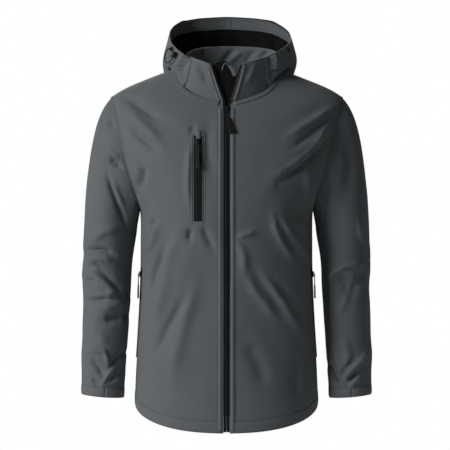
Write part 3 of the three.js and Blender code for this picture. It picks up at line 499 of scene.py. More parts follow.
class Stroke:
    """A soft ridge or trough. points are (x, z) pairs in mm, and width and height are in mm."""

    def __init__(self, side, points, width, height, fade=0.3):
        self.side = side
        self.line = np.array(points, float) * MM
        self.width = width * MM
        self.height = height * MM * STROKE_GAIN
        self.fade = fade

    def lift(self, x, z):
        """The stroke's height at each point of the cloth."""
        near = np.full(len(x), 1e9)
        share = np.zeros(len(x))
        steps = np.linalg.norm(np.diff(self.line, axis=0), axis=1)
        total = steps.sum()
        before = 0.0
        for start, end, step in zip(self.line, self.line[1:], steps):
            run = (end - start) / step
            along = np.clip((x - start[0]) * run[0] + (z - start[1]) * run[1], 0, step)
            away = np.hypot(x - start[0] - along * run[0], z - start[1] - along * run[1])
            closer = away < near
            near = np.where(closer, away, near)
            share = np.where(closer, (before + along) / total, share)
            before += step
        ends = np.clip(np.minimum(share, 1 - share) / self.fade, 0, 1)
        ends = 0.25 + 0.75 * ends * ends * (3 - 2 * ends)
        return self.height * ends * np.exp(-((near / self.width) ** 2))


TORSO_STROKES = [
    Stroke("front", [(-209, -67), (-189, -78), (-160, -99), (-137, -115)], 8, -2.6),
    Stroke("front", [(-201, -92), (-182, -115), (-158, -136), (-132, -167)], 9, 2.2),
    Stroke("front", [(-204, -125), (-185, -142), (-162, -163), (-139, -178)], 7, -3.2),
    Stroke("front", [(-176, -209), (-170, -222), (-180, -260)], 8, -4.5),
    Stroke("front", [(-146, -320), (-158, -335)], 6, -2.6),
    Stroke("front", [(-137, -325), (-150, -358), (-162, -387)], 8, 2.8),
    Stroke("front", [(-122, -373), (-135, -402), (-147, -433), (-158, -482)], 8, -3.6),
    Stroke("front", [(-97, -344), (-116, -396), (-126, -444), (-139, -492), (-158, -540)], 12, 4.2),
    Stroke("front", [(-74, -338), (-76, -363)], 6, -3.0),
    Stroke("front", [(-49, -331), (-35, -363), (-24, -381)], 7, -2.6),
    Stroke("front", [(-79, -469), (-97, -502), (-120, -540), (-135, -573), (-151, -598)], 9, -2.8),
    Stroke("front", [(-60, -440), (-84, -520), (-105, -600), (-112, -650)], 14, 2.6),
    Stroke("front", [(-62, -150), (-72, -190), (-76, -250), (-70, -305)], 8, 2.4),
    Stroke("front", [(-66, -128), (-70, -140), (-63, -152)], 5, -2.4),
    Stroke("front", [(-36, -110), (-40, -170), (-33, -230)], 12, -1.6),
    Stroke("front", [(218, -88), (189, -109), (166, -123), (120, -151)], 8, 2.6),
    Stroke("front", [(220, -105), (197, -124), (170, -147), (130, -176)], 7, -2.6),
    Stroke("front", [(216, -121), (199, -136), (182, -167), (160, -192), (132, -211), (112, -226)], 8, 3.4),
    Stroke("front", [(201, -155), (182, -180), (164, -197), (143, -217), (120, -232), (105, -249)], 8, -4.0),
    Stroke("front", [(165, -215), (170, -262), (163, -300)], 11, 2.4),
    Stroke("front", [(93, -310), (99, -336), (110, -361), (128, -386), (139, -406)], 7, 2.8),
    Stroke("front", [(105, -329), (122, -364), (139, -390)], 6, -2.4),
    Stroke("front", [(112, -315), (124, -340), (143, -365), (158, -386), (166, -406)], 8, 3.0),
    Stroke("front", [(143, -319), (166, -355)], 7, 2.2),
    Stroke("front", [(22, -354), (60, -342)], 6, 2.0),
    Stroke("front", [(22, -367), (35, -390), (37, -424)], 8, 2.6),
    Stroke("front", [(39, -432), (60, -467), (83, -494), (101, -517)], 8, 2.6),
    Stroke("front", [(50, -418), (80, -455), (110, -500)], 8, -2.0),
    Stroke("front", [(70, -433), (89, -456), (112, -482), (131, -517), (147, -540), (160, -559)], 9, 3.2),
    Stroke("front", [(95, -440), (130, -482), (155, -525)], 8, -2.0),
    Stroke("front", [(40, -560), (66, -610), (80, -660)], 16, -2.4),
    Stroke("front", [(150, -590), (140, -640), (146, -690)], 12, -2.2),
    Stroke("back", [(-214, -120), (-180, -170), (-130, -210), (-90, -270)], 11, 4.0),
    Stroke("back", [(-206, -150), (-170, -205), (-120, -250)], 9, -3.6),
    Stroke("back", [(212, -110), (172, -160), (128, -196), (84, -262)], 11, 4.0),
    Stroke("back", [(204, -146), (160, -200), (118, -236)], 9, -3.6),
    Stroke("back", [(-60, -90), (0, -104), (62, -92)], 12, 2.6),
    Stroke("back", [(-110, -350), (-50, -384), (20, -392)], 10, 3.2),
    Stroke("back", [(120, -330), (60, -372), (-10, -408)], 10, -3.0),
    Stroke("back", [(158, -372), (110, -410), (70, -430)], 10, 3.4),
    Stroke("back", [(-156, -390), (-120, -440), (-96, -520)], 11, 3.6),
    Stroke("back", [(-136, -410), (-92, -470), (-66, -560)], 10, -3.0),
    Stroke("back", [(136, -440), (110, -500), (104, -600)], 12, 3.2),
    Stroke("back", [(30, -450), (44, -540), (36, -650)], 15, 2.8),
    Stroke("back", [(-16, -470), (-26, -560), (-14, -680)], 14, -2.4),
    Stroke("back", [(74, -470), (78, -560), (84, -660)], 12, -2.4),
    Stroke("back", [(-150, -560), (-128, -620), (-132, -690)], 13, 2.6),
]

SLEEVE_STROKES = [
    Stroke("front", [(-245, -196), (-233, -198), (-219, -210)], 6, -5.0),
    Stroke("front", [(-250, -180), (-236, -184), (-220, -196)], 7, 2.2),
    Stroke("front", [(-247, -225), (-239, -247), (-229, -273), (-218, -304), (-208, -330)], 5, -4.2),
    Stroke("front", [(-236, -236), (-226, -266), (-214, -298)], 7, 2.6),
    Stroke("front", [(-247, -113), (-228, -125)], 8, -2.4),
    Stroke("front", [(-287, -370), (-253, -344), (-218, -337)], 8, 2.8),
    Stroke("front", [(-296, -388), (-283, -381), (-263, -380), (-245, -384), (-231, -392)], 5, -5.0),
    Stroke("front", [(-290, -396), (-270, -398), (-249, -400), (-232, -408)], 6, 3.0),
    Stroke("front", [(-292, -420), (-271, -415), (-247, -437), (-228, -459), (-212, -480)], 7, -4.6),
    Stroke("front", [(-295, -447), (-283, -443), (-271, -445)], 4, -3.0),
    Stroke("front", [(-298, -434), (-269, -435), (-247, -451), (-233, -465), (-247, -477), (-273, -479)], 7, 4.0),
    Stroke("front", [(-289, -486), (-263, -485), (-237, -478)], 6, -4.4),
    Stroke("front", [(-261, -500), (-232, -496), (-204, -491)], 8, 3.0),
    Stroke("front", [(-255, -528), (-228, -522), (-202, -518)], 9, -4.2),
    Stroke("front", [(-290, -545), (-262, -556), (-246, -580)], 12, 2.2),
    Stroke("front", [(-291, -592), (-273, -588), (-253, -590), (-247, -602), (-243, -624)], 4.5, 3.6),
    Stroke("front", [(-283, -604), (-263, -624), (-251, -640)], 6, -3.8),
    Stroke("front", [(-277, -645), (-263, -663)], 5, -2.6),
    Stroke("front", [(-257, -660), (-243, -636), (-226, -614), (-210, -602)], 4, 3.6),
    Stroke("front", [(-238, -624), (-224, -606), (-206, -594)], 5, -5.0),
    Stroke("front", [(-253, -661), (-234, -653), (-218, -642)], 4, 2.8),
    Stroke("front", [(273, -321), (277, -348), (291, -376)], 6, 2.4),
    Stroke("front", [(206, -443), (226, -426), (244, -415), (283, -409)], 5, 3.6),
    Stroke("front", [(216, -452), (238, -447), (256, -460), (240, -484)], 12, -5.0),
    Stroke("front", [(263, -447), (244, -486), (230, -516)], 8, 3.0),
    Stroke("front", [(288, -420), (276, -440), (262, -470)], 8, -2.4),
    Stroke("front", [(293, -592), (273, -614), (253, -636), (236, -655)], 5, 3.8),
    Stroke("front", [(263, -606), (242, -630), (230, -646)], 5, -3.4),
    Stroke("front", [(277, -640), (253, -663)], 5, 3.0),
    Stroke("front", [(269, -632), (249, -653)], 4, -3.0),
    Stroke("front", [(210, -616), (222, -642), (236, -661)], 3.6, -4.6),
    Stroke("front", [(240, -560), (250, -600), (246, -640)], 10, 2.4),
    Stroke("front", [(250, -150), (256, -210), (246, -270)], 12, -2.0),
    Stroke("back", [(-296, -372), (-262, -386), (-222, -380)], 8, 3.6),
    Stroke("back", [(-298, -396), (-258, -410), (-218, -404)], 7, -4.4),
    Stroke("back", [(-296, -420), (-262, -436), (-216, -440)], 8, 3.8),
    Stroke("back", [(-292, -452), (-250, -462), (-214, -480)], 7, -3.6),
    Stroke("back", [(-262, -200), (-240, -260), (-222, -330)], 9, 3.0),
    Stroke("back", [(-288, -560), (-250, -580), (-226, -610)], 8, 3.0),
    Stroke("back", [(-286, -600), (-256, -616), (-232, -644)], 6, -3.4),
    Stroke("back", [(296, -380), (260, -392), (220, -384)], 8, 3.6),
    Stroke("back", [(298, -404), (258, -420), (216, -414)], 7, -4.4),
    Stroke("back", [(296, -430), (262, -450), (214, -452)], 8, 3.8),
    Stroke("back", [(292, -470), (252, -482), (214, -498)], 7, -3.4),
    Stroke("back", [(266, -196), (246, -262), (226, -326)], 9, 3.0),
    Stroke("back", [(290, -566), (256, -590), (230, -620)], 8, 3.0),
    Stroke("back", [(288, -610), (260, -624), (236, -650)], 6, -3.2),
]
print("strokes:", len(TORSO_STROKES), "on the torso,", len(SLEEVE_STROKES), "on the sleeves")

# %% [markdown]
# ## Laying the creases into a wall
# Each point of the outer skin moves along its own normal by the sum of the strokes over it. A stroke on the
# front fades out where the cloth turns away to the side. Zips keep the cloth flat beside them, and seams pull
# it in a little, so the strokes fade there too. The inner skin takes the move of the outer point that is
# nearest to it.

# %% Laying the creases
def skin_points(mesh):
    """Places of all points, which of them are on the outer skin, and that skin's normals."""
    count = len(mesh.vertices)
    places = np.empty(count * 3)
    mesh.vertices.foreach_get("co", places)
    places = places.reshape(-1, 3)
    marks = np.empty(len(mesh.polygons), int)
    mesh.attributes["skin"].data.foreach_get("value", marks)
    faces = np.empty(len(mesh.polygons) * 4, int)
    mesh.polygons.foreach_get("vertices", faces)
    faces = faces.reshape(-1, 4)
    normals = np.empty(len(mesh.polygons) * 3)
    mesh.polygons.foreach_get("normal", normals)
    normals = normals.reshape(-1, 3)
    outer = marks == OUTER
    total = np.zeros((count, 3))
    for corner in range(4):
        np.add.at(total, faces[outer, corner], normals[outer])
    on_outer = np.zeros(count, bool)
    on_outer[faces[outer].ravel()] = True
    on_rim = np.zeros(count, bool)
    on_rim[faces[marks == RIM].ravel()] = True
    beyond = np.zeros((count, 3))
    for corner in range(4):
        np.add.at(beyond, faces[marks == RIM, corner], normals[marks == RIM])
    for sums in (total, beyond):
        size = np.linalg.norm(sums, axis=1)
        sums[size > 0] /= size[size > 0][:, None]
    return places, on_outer, on_rim, total, beyond


def distances(places, targets):
    """Distance from each place to the nearest target, and that target's index."""
    tree = KDTree(len(targets))
    for index, target in enumerate(targets):
        tree.insert(target, index)
    tree.balance()
    found = [tree.find(place)[1:] for place in places]
    return np.array([f[1] for f in found]), np.array([f[0] for f in found])


def ease(value, low, high):
    share = np.clip((value - low) / (high - low), 0, 1)
    return share * share * (3 - 2 * share)


def ripple(x, y, z, size, height):
    """Faint unevenness of hanging cloth, from waves that never quite repeat."""
    a = np.sin(x / size * 2.1 + 1.3 * np.sin(z / size * 1.7)) * np.sin(z / size * 1.3 + y / size)
    b = np.sin((x + z) / size * 0.9 + 2.0) * np.sin((z - x) / size * 1.1 + y / size * 0.7)
    return height * (0.6 * a + 0.4 * b)


SEAM_DEPTH = 0.7 * MM           # how far cloth rolls in at a seam
SEAM_WIDTH = 3.2 * MM
RIM_GROWTH = 0.5 * MM           # how far each edge reaches over, so that no light shows through a seam
RIMS = {}


def lay_creases(piece, strokes, calm, middle_y, growth=RIM_GROWTH):
    """Moves the outer skin by the strokes, and the rest of the wall with it."""
    mesh = piece.data
    places, on_outer, on_rim, normals, beyond = skin_points(mesh)
    outer = np.flatnonzero(on_outer)
    p, n = places[outer], normals[outer]
    edge = np.flatnonzero(on_outer & on_rim)
    from_edge, _ = distances(p, places[edge])
    facing = ease(-(p[:, 1] - middle_y(p)), -0.03, 0.03)
    lift = np.zeros(len(p))
    for stroke in strokes:
        weight = facing if stroke.side == "front" else 1 - facing
        lift += weight * stroke.lift(p[:, 0], p[:, 2])
    lift += ripple(p[:, 0], p[:, 1], p[:, 2], 0.042, 0.5 * MM)
    lift *= calm(p)
    lift *= 0.35 + 0.65 * ease(from_edge, 0, 0.012)
    move = n * lift[:, None]
    rest = np.flatnonzero(~on_outer)
    _, nearest = distances(places[rest], p)
    moved = places.copy()
    moved[rest] += move[nearest]
    roll = SEAM_DEPTH * np.exp(-((from_edge / SEAM_WIDTH) ** 2))
    moved[outer] += move - n * roll[:, None]
    moved[on_rim] += beyond[on_rim] * growth
    RIMS[piece.name.removesuffix("_cloth")] = moved[edge]
    mesh.vertices.foreach_set("co", moved.ravel())
    mesh.update()


def map_cloth(piece, centre, radius, turned=False):
    """Stores the cloth's own map in metres: the way round a centre line, and the height."""
    mesh = piece.data
    places = np.empty(len(mesh.vertices) * 3)
    mesh.vertices.foreach_get("co", places)
    places = places.reshape(-1, 3)
    x, y = places[:, 0] - centre[0], places[:, 1] - centre[1]
    turn = np.arctan2(x, y) if turned else np.arctan2(x, -y)
    values = np.stack([turn * radius, places[:, 2], np.hypot(x, y)], axis=1)
    layer = mesh.attributes.new("cloth_map", "FLOAT_VECTOR", "POINT")
    layer.data.foreach_set("vector", values.ravel())


SKINS = {}


def surface_of(nodes, skin=OUTER):
    """A search tree over one skin of some pieces."""
    points, faces = [], []
    for node in nodes:
        start = len(points)
        skin_places, skin_faces = SKINS[node, skin]
        points += skin_places
        faces += [[start + i for i in face] for face in skin_faces]
    return BVHTree.FromPolygons(points, faces)


def finish_cloth(piece, node, outside, inside, smooth_angle=45):
    """Gives the skins their materials, smooths the shading and puts the piece on the jacket."""
    mesh = piece.data
    for material in (outside, inside):
        mesh.materials.append(MATERIALS[material])
    marks = np.empty(len(mesh.polygons), int)
    mesh.attributes["skin"].data.foreach_get("value", marks)
    mesh.polygons.foreach_set("material_index", (marks == INNER).astype(int))
    places = [v.co.copy() for v in mesh.vertices]
    for skin in (OUTER, INNER):
        SKINS[node, skin] = (places, [tuple(p.vertices) for p, m in zip(mesh.polygons, marks) if m == skin])
    mesh.attributes.remove(mesh.attributes["skin"])
    bpy.ops.object.select_all(action="DESELECT")
    piece.select_set(True)
    bpy.context.view_layer.objects.active = piece
    bpy.ops.object.shade_smooth_by_angle(angle=math.radians(smooth_angle))
    piece.select_set(False)
    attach(piece, BODY)
    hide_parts(node)
    return piece


CLOTH = {}
WALL = 2.0 * MM
print("creases: strokes fade at zips and seams, and the inner skin follows")

# %% [markdown]
# ## Fronts and back
# The two fronts and the back hang from the shoulders. The centre line of the body tells the outer skin from
# the inner one. Beside the front zip, round the chest pocket and at the hand pockets the cloth stays flat,
# because a zip tape behind it is stiffer than the cloth.

# %% Fronts and back
ZIP_STRIPS = [
    {"x": 0.0, "top": 0.0, "bottom": -0.76, "half": 0.014},
    {"x": -0.058, "top": -0.150, "bottom": -0.322, "half": 0.012},
    {"x": -0.181, "top": -0.418, "bottom": -0.606, "half": 0.010},
    {"x": 0.181, "top": -0.418, "bottom": -0.606, "half": 0.010},
]


def calm_torso(p):
    """Share of its creases that the torso keeps: none under a zip, few at the hem."""
    keep = 0.3 + 0.7 * ease(p[:, 2], -0.735, -0.66)
    front = ease(-p[:, 1], 0.004, 0.03)
    for strip in ZIP_STRIPS:
        up = np.maximum(0, np.maximum(p[:, 2] - strip["top"], strip["bottom"] - p[:, 2]))
        away = np.hypot(p[:, 0] - strip["x"], up)
        flat = ease(away, strip["half"] * 0.7, strip["half"] * 1.7)
        keep = keep * (1 - front * (1 - flat))
    return keep


TORSO = {
    "front_left": {"flat": (0.27, 0.75), "area": 0.182},
    "front_right": {"flat": (0.27, 0.75), "area": 0.182},
    "back": {"flat": (0.54, 0.76), "area": 0.385},
}
TORSO_CENTRE = Vector((0, 0, -0.35))
for node, cut in TORSO.items():
    piece = cloth_wall(node, TORSO_CENTRE, WALL, 3)
    lay_creases(piece, TORSO_STROKES, calm_torso, lambda p: np.zeros(len(p)))
    map_cloth(piece, (0, 0), 0.19, turned=node == "back")
    finish_cloth(piece, node, "shell", "fleece")
    CLOTH[node] = piece
    print(node, len(piece.data.polygons), "faces")

# %% [markdown]
# ## Sleeves
# Each sleeve is cut in two, an upper and an under piece. The elbow is a little bent, so the deepest creases
# run round it, and the cuff is pushed up by the hand that isn't there, which gives the short sharp folds
# above its hem.

# %% Sleeves
def sleeve_middle(p):
    """Depth of the sleeve's centre line at each height."""
    heights = [-0.688, -0.620, -0.560, -0.487, -0.403, -0.345, -0.10]
    depths = [-0.029, -0.018, -0.007, 0.001, 0.004, 0.005, 0.0]
    return np.interp(p[:, 2], heights, depths)


def calm_sleeve(p):
    """The cuff's hem is stiff, so the creases fade out towards it."""
    hem = ease(p[:, 2], -0.684, -0.655)
    return 0.12 + 0.88 * hem


SLEEVES = {
    "upper": {"flat": (0.31, 0.65), "area": 0.152},
    "under": {"flat": (0.10, 0.44), "area": 0.035},
}
for word, side in (("left", 1), ("right", -1)):
    for part, cut in SLEEVES.items():
        node = f"sleeve_{word}_{part}"
        piece = cloth_wall(node, Vector((side * 0.25, -0.003, -0.45)), WALL, 3)
        lay_creases(piece, SLEEVE_STROKES, calm_sleeve, sleeve_middle)
        map_cloth(piece, (side * 0.25, 0), 0.055)
        finish_cloth(piece, node, "shell", "fleece")
        CLOTH[node] = piece
        print(node, len(piece.data.polygons), "faces")

# %% [markdown]
# ## Collar and hood
# The collar stands in two layers, both of the grey cloth. The hood is thrown back and lies on the shoulders,
# so its black fleece shows inside, with the grey facing along its rim.

# %% Collar and hood
COLLAR_STROKES = [
    Stroke("front", [(-72, 8), (-64, -14), (-50, -40)], 6, 1.6),
    Stroke("front", [(-58, 6), (-46, -20), (-36, -44)], 6, -1.6),
    Stroke("front", [(60, 4), (52, -18), (40, -42)], 6, 1.6),
    Stroke("back", [(16, 46), (2, 30), (-12, 10)], 6, 2.4),
    Stroke("back", [(36, 44), (18, 30), (0, 14)], 6, -2.0),
    Stroke("back", [(62, 44), (50, 30), (40, 14)], 6, 1.8),
    Stroke("back", [(90, 42), (72, 24)], 5, 2.4),
    Stroke("back", [(100, 34), (92, 20)], 4, -1.6),
    Stroke("back", [(-52, 46), (-60, 24)], 7, 1.8),
]
HOOD_STROKES = [
    Stroke("front", [(-128, 10), (-118, 22), (-108, 40)], 6, -1.6),
    Stroke("front", [(134, 8), (126, 24), (118, 42)], 6, -1.6),
    Stroke("back", [(-90, 80), (-100, 20), (-70, -60)], 12, 3.4),
    Stroke("back", [(-40, 96), (-48, 20), (-20, -90)], 13, -3.0),
    Stroke("back", [(20, 100), (34, 30), (22, -110)], 14, 3.2),
    Stroke("back", [(84, 84), (96, 16), (70, -70)], 12, -3.0),
    Stroke("back", [(-80, -20), (0, -44), (84, -24)], 12, 3.6),
    Stroke("back", [(-60, -80), (10, -98), (60, -86)], 10, -3.2),
]
NECK_PIECES = {
    "collar_outer": {"flat": (0.62, 0.075), "area": 0.0315, "held": "stretched", "inside": "shell"},
    "collar_inner": {"flat": (0.61, 0.075), "area": 0.0305, "held": "stretched", "inside": "shell"},
    "hood_left": {"flat": (0.24, 0.21), "area": 0.035, "held": "folded", "inside": "fleece"},
    "hood_centre": {"flat": (0.27, 0.36), "area": 0.081, "held": "folded", "inside": "fleece"},
    "hood_right": {"flat": (0.24, 0.20), "area": 0.032, "held": "folded", "inside": "fleece"},
}
COLLAR_CENTRE = Vector((0.004, -0.01, 0.0))
HOOD_CENTRE = Vector((0.004, 0.06, 0.06))


HOOD_GROWTH = 0.9 * MM
COLLAR_GROWTH = 1.3 * MM
FRONT_EDGE = 9 * MM
RIM_RISE = {                    # how much higher the hood's rim stands at each x, both in mm
    -140: 1.0, -120: 4.0, -111: 5.0, -97: 4.6, -88: 2.2, -60: 3.4, 0: 3.5, 60: 3.2, 88: 2.4, 105: 1.7, 125: 0.8,
}
EDGE_REACH = 30 * MM            # how far back from its front edge the hood bends in to the collar


def round_rim(piece):
    """Lifts the hood's rim a little between its seams, so that it runs round in one curve."""
    mesh = piece.data
    places = np.empty(len(mesh.vertices) * 3)
    mesh.vertices.foreach_get("co", places)
    places = places.reshape(-1, 3)
    rise = np.interp(places[:, 0] / MM, list(RIM_RISE), list(RIM_RISE.values())) * MM
    places[:, 2] += rise * ease(places[:, 2], 0.025, 0.085)
    mesh.vertices.foreach_set("co", places.ravel())
    mesh.update()


def sew_to_collar(piece):
    """Bends the front edge of a hood side in, until it lies on the collar that it is sewn to."""
    mesh = piece.data
    collar = surface_of(["collar_outer"])
    places, on_outer, _, _, _ = skin_points(mesh)
    front = np.flatnonzero(places[:, 1] < places[:, 1].min() + FRONT_EDGE)
    away, _ = distances(places, places[front])
    for index in np.flatnonzero(away < EDGE_REACH):
        place = Vector(places[index])
        hit, out, _, gap = collar.find_nearest(place)
        if gap > 16 * MM:
            continue
        stand = 1.5 * MM if on_outer[index] else -0.2 * MM
        pull = 1 - float(ease(away[index], 0.002, EDGE_REACH))
        places[index] = place.lerp(hit + out * stand, pull * pull)
    mesh.vertices.foreach_set("co", places.ravel())
    mesh.update()


def keep_all(p):
    return np.ones(len(p))


for node, facts in NECK_PIECES.items():
    hood = node.startswith("hood")
    centre = HOOD_CENTRE if hood else COLLAR_CENTRE
    piece = cloth_wall(node, centre, WALL, 3)
    middle = (lambda p: np.full(len(p), 0.02)) if hood else (lambda p: np.full(len(p), -0.01))
    growth = HOOD_GROWTH if hood else COLLAR_GROWTH
    lay_creases(piece, HOOD_STROKES if hood else COLLAR_STROKES, keep_all, middle, growth)
    if node in ("hood_left", "hood_right"):
        sew_to_collar(piece)
    if hood:
        round_rim(piece)
    map_cloth(piece, (centre.x, centre.y), 0.12 if hood else 0.09, turned=True)
    finish_cloth(piece, node, "shell", facts["inside"])
    CLOTH[node] = piece
    print(node, len(piece.data.polygons), "faces")

RIMS["hood_rim"] = np.concatenate([RIMS[node] for node in ("hood_left", "hood_centre", "hood_right")])
facing = cloth_wall("hood_facing", HOOD_CENTRE, 1.0 * MM, 3)
round_rim(facing)
map_cloth(facing, (HOOD_CENTRE.x, HOOD_CENTRE.y), 0.12, turned=True)
finish_cloth(facing, "hood_facing", "shell", "shell")
CLOTH["hood_facing"] = facing

# %% [markdown]
# ## Zip tapes and wind flap
# The tapes are woven black ribbon, and the flap is a folded strip of the lining that keeps the wind out
# behind the zip. Both are thin walls, made in the same way.

# %% Zip tapes and wind flap
TRIM = {
    "zip_tape_left": {"wall": 1.0, "centre": (0.02, 0.3, -0.4), "look": "tape", "slot": "zip_tape"},
    "zip_tape_right": {"wall": 1.0, "centre": (-0.02, 0.3, -0.4), "look": "tape", "slot": "zip_tape"},
    "wind_flap": {"wall": 2.0, "centre": (0, 0.2, -0.06), "look": "fleece", "slot": "lining"},
}
for node, facts in TRIM.items():
    piece = cloth_wall(node, Vector(facts["centre"]), facts["wall"] * MM, 2)
    map_cloth(piece, (0, 0), 0.1)
    finish_cloth(piece, node, facts["look"], facts["look"])
    CLOTH[node] = piece
    print(node, len(piece.data.polygons), "faces")

# %% [markdown]
# ## Lines that follow the cloth
# Hems, plackets, seam bands, stitches and zip teeth all run along lines on the cloth, so one set of helpers
# finds such lines. A line starts as points seen from the front, or as the edge of a piece. Each point is then
# dropped onto the nearest cloth, which also tells the way that faces out there.

# %% Lines on the cloth
def edge_round(points, centre, slots, highest):
    """The top or bottom edge of some cloth, as points in order round a centre, from the front."""
    turn = np.arctan2(points[:, 0] - centre[0], centre[1] - points[:, 1]) % (2 * np.pi)
    slot = (turn / (2 * np.pi) * slots).astype(int)
    line = []
    for s in range(slots):
        inside = points[slot == s]
        if len(inside):
            best = np.argmax(inside[:, 2]) if highest else np.argmin(inside[:, 2])
            line.append(inside[best])
    return np.array(line)


def even_line(points, step, smoothings=2):
    """The same line with its points at an even step, a little smoothed."""
    points = np.array([tuple(p) for p in points], float)
    for _ in range(smoothings):
        points[1:-1] = (points[:-2] + 2 * points[1:-1] + points[2:]) / 4
    run = np.concatenate([[0], np.cumsum(np.linalg.norm(np.diff(points, axis=0), axis=1))])
    marks = np.linspace(0, run[-1], max(2, int(round(run[-1] / step)) + 1))
    return [Vector(p) for p in np.stack([np.interp(marks, run, points[:, k]) for k in range(3)], axis=1)]


def from_front(tree, route, step=4 * MM):
    """A line on the cloth through (x, z) points in mm, as seen from the front."""
    flat = even_line([(x * MM, -0.5, z * MM) for x, z in route], step, smoothings=0)
    hits = [tree.ray_cast(start, Vector((0, 1, 0)))[0] for start in flat]
    return drop(tree, [hit for hit in hits if hit])


def drop(tree, line):
    """Pairs of a point on the cloth and the way out of it, for each point of a line."""
    found = [tree.find_nearest(point)[:2] for point in line]
    track = []
    for i, (point, _) in enumerate(found):
        near = found[max(0, i - 1):i + 2]
        track.append((point, sum((normal for _, normal in near), Vector()).normalized()))
    return track


def headings(track):
    """The way along a track at each of its points."""
    last = len(track) - 1
    return [(track[min(i + 1, last)][0] - track[max(i - 1, 0)][0]).normalized() for i in range(last + 1)]


class Sewing:
    """Collects meshes that are sewn on, until they become one piece."""

    def __init__(self):
        self.points, self.faces = [], []

    def add(self, points, faces):
        start = len(self.points)
        self.points += points
        self.faces += [tuple(start + i for i in face) for face in faces]

    def band(self, tree, track, away, width, height, power=2.0, steps=6):
        """A rounded strip of folded cloth along a track, away to one side of it."""
        if len(track) < 3:
            print("no cloth under this band")
            return
        ring = steps + 3
        points, faces = [], []
        for (place, out), along in zip(track, headings(track)):
            across = along.cross(out).normalized()
            row = []
            for k in range(steps + 1):
                share = 2 * k / steps - 1
                hit, up, _, _ = tree.find_nearest(place + across * (away + share * width / 2))
                up = out if up.dot(out) < 0.3 else up
                row.append(hit + up * (height * (1 - abs(share) ** power) - 0.12 * MM))
            row += [row[-1] - out * 0.9 * MM, row[0] - out * 0.9 * MM]
            points += row
        rows = len(track)
        for i in range(rows - 1):
            for k in range(ring):
                a, b = i * ring + k, i * ring + (k + 1) % ring
                faces.append((a, b, b + ring, a + ring))
        faces.append(tuple(range(ring))[::-1])
        faces.append(tuple((rows - 1) * ring + k for k in range(ring)))
        self.add(points, faces)

    def bars(self, tree, track, away, pitch, length, radius, sunk=0.4, crossing=False, stagger=0.0):
        """Short rounded bars at an even pitch: stitches along a track, or zip teeth across it."""
        heads = headings(track)
        count = 0
        due, run = pitch / 2, 0.0
        for i in range(len(track) - 1):
            (a, out), (b, _) = track[i], track[i + 1]
            step = (b - a).length
            while due <= run + step:
                share = (due - run) / step
                across = heads[i].cross(out).normalized()
                shift = away + (stagger if count % 2 else -stagger)
                hit, up, _, _ = tree.find_nearest(a.lerp(b, share) + across * shift)
                up = out if up.dot(out) < 0.3 else up
                self.bar(hit + up * radius * sunk, across if crossing else heads[i], up, length, radius)
                due += pitch
                count += 1
            run += step
        return count

    def bar(self, middle, along, up, length, radius, sides=6):
        side = along.cross(up).normalized()
        up = side.cross(along)
        points, faces = [], []
        for reach, girth in ((-0.5, 0.45), (-0.38, 1), (0.38, 1), (0.5, 0.45)):
            for k in range(sides):
                turn = 2 * math.pi * k / sides
                edge = side * math.cos(turn) + up * math.sin(turn)
                points.append(middle + along * length * reach + edge * radius * girth)
        for ring in range(3):
            for k in range(sides):
                a, b = ring * sides + k, ring * sides + (k + 1) % sides
                faces.append((a, b, b + sides, a + sides))
        faces.append(tuple(range(sides))[::-1])
        faces.append(tuple(3 * sides + k for k in range(sides)))
        self.add(points, faces)

    def finish(self, name, material, slot, body=BODY):
        mesh = bpy.data.meshes.new(name)
        mesh.from_pydata(self.points, [], self.faces)
        made = bmesh.new()
        made.from_mesh(mesh)
        bmesh.ops.recalc_face_normals(made, faces=made.faces)
        for face in made.faces:
            face.smooth = True
        made.to_mesh(mesh)
        made.free()
        piece = new_piece(name, mesh)
        mesh.materials.append(MATERIALS[material])
        map_cloth(piece, (0, 0), 0.15)
        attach(piece, body)
        print(name, len(mesh.polygons), "faces")
        return piece


TORSO_NODES = ["front_left", "front_right", "back"]
torso_skin = surface_of(TORSO_NODES)
print("search trees: one for the torso's outer skin")

# %% [markdown]
# ## Plackets, welts and pocket edges
# Beside the front zip each front is folded back over the tape and stitched, which leaves a rounded ridge. The
# pocket zips have narrower folds, called welts. Each fold is a strip that follows the cloth.

# %% Plackets and welts
PLACKET = {"away": 12.7, "width": 9.6, "height": 1.9}
PLACKET_STITCH = 18.4
CHEST_WELTS = [(-69.4, 3.6, 1.0), (-47.4, 2.6, 0.9), (-43.6, 2.4, 0.8)]
CHEST_STITCHES = [-72.2, -45.5]


def middle_of(node):
    """The line down the middle of a tape, from its top to its bottom."""
    places = np.array([v.co for v in frame["nodes"][node].data.vertices])
    cuts = np.linspace(places[:, 2].max(), places[:, 2].min(), 7)
    rows = [places[(places[:, 2] <= a) & (places[:, 2] >= b)].mean(axis=0) for a, b in zip(cuts, cuts[1:])]
    rows[0][2], rows[-1][2] = cuts[0], cuts[-1]
    return rows


STITCH = {"pitch": 3.5 * MM, "length": 2.7 * MM, "radius": 0.3 * MM}
folds = {1: Sewing(), -1: Sewing()}
threads = Sewing()
for side in (1, -1):
    line = from_front(torso_skin, [(side * PLACKET["away"], -94), (side * PLACKET["away"], -744)])
    folds[side].band(torso_skin, line, 0, PLACKET["width"] * MM, PLACKET["height"] * MM)
    line = from_front(torso_skin, [(side * PLACKET_STITCH, -94), (side * PLACKET_STITCH, -742)])
    threads.bars(torso_skin, line, 0, **STITCH)
for x, width, height in CHEST_WELTS:
    line = from_front(torso_skin, [(x, -146), (x, -324)])
    folds[-1].band(torso_skin, line, 0, width * MM, height * MM)
for x in CHEST_STITCHES:
    threads.bars(torso_skin, from_front(torso_skin, [(x, -142), (x, -328)]), 0, **STITCH)
for z in (-142, -328):
    threads.bars(torso_skin, from_front(torso_skin, [(-72, z), (-46, z)]), 0, **STITCH)
garage = from_front(torso_skin, [(-57, -139), (-57, -157)], 3 * MM)
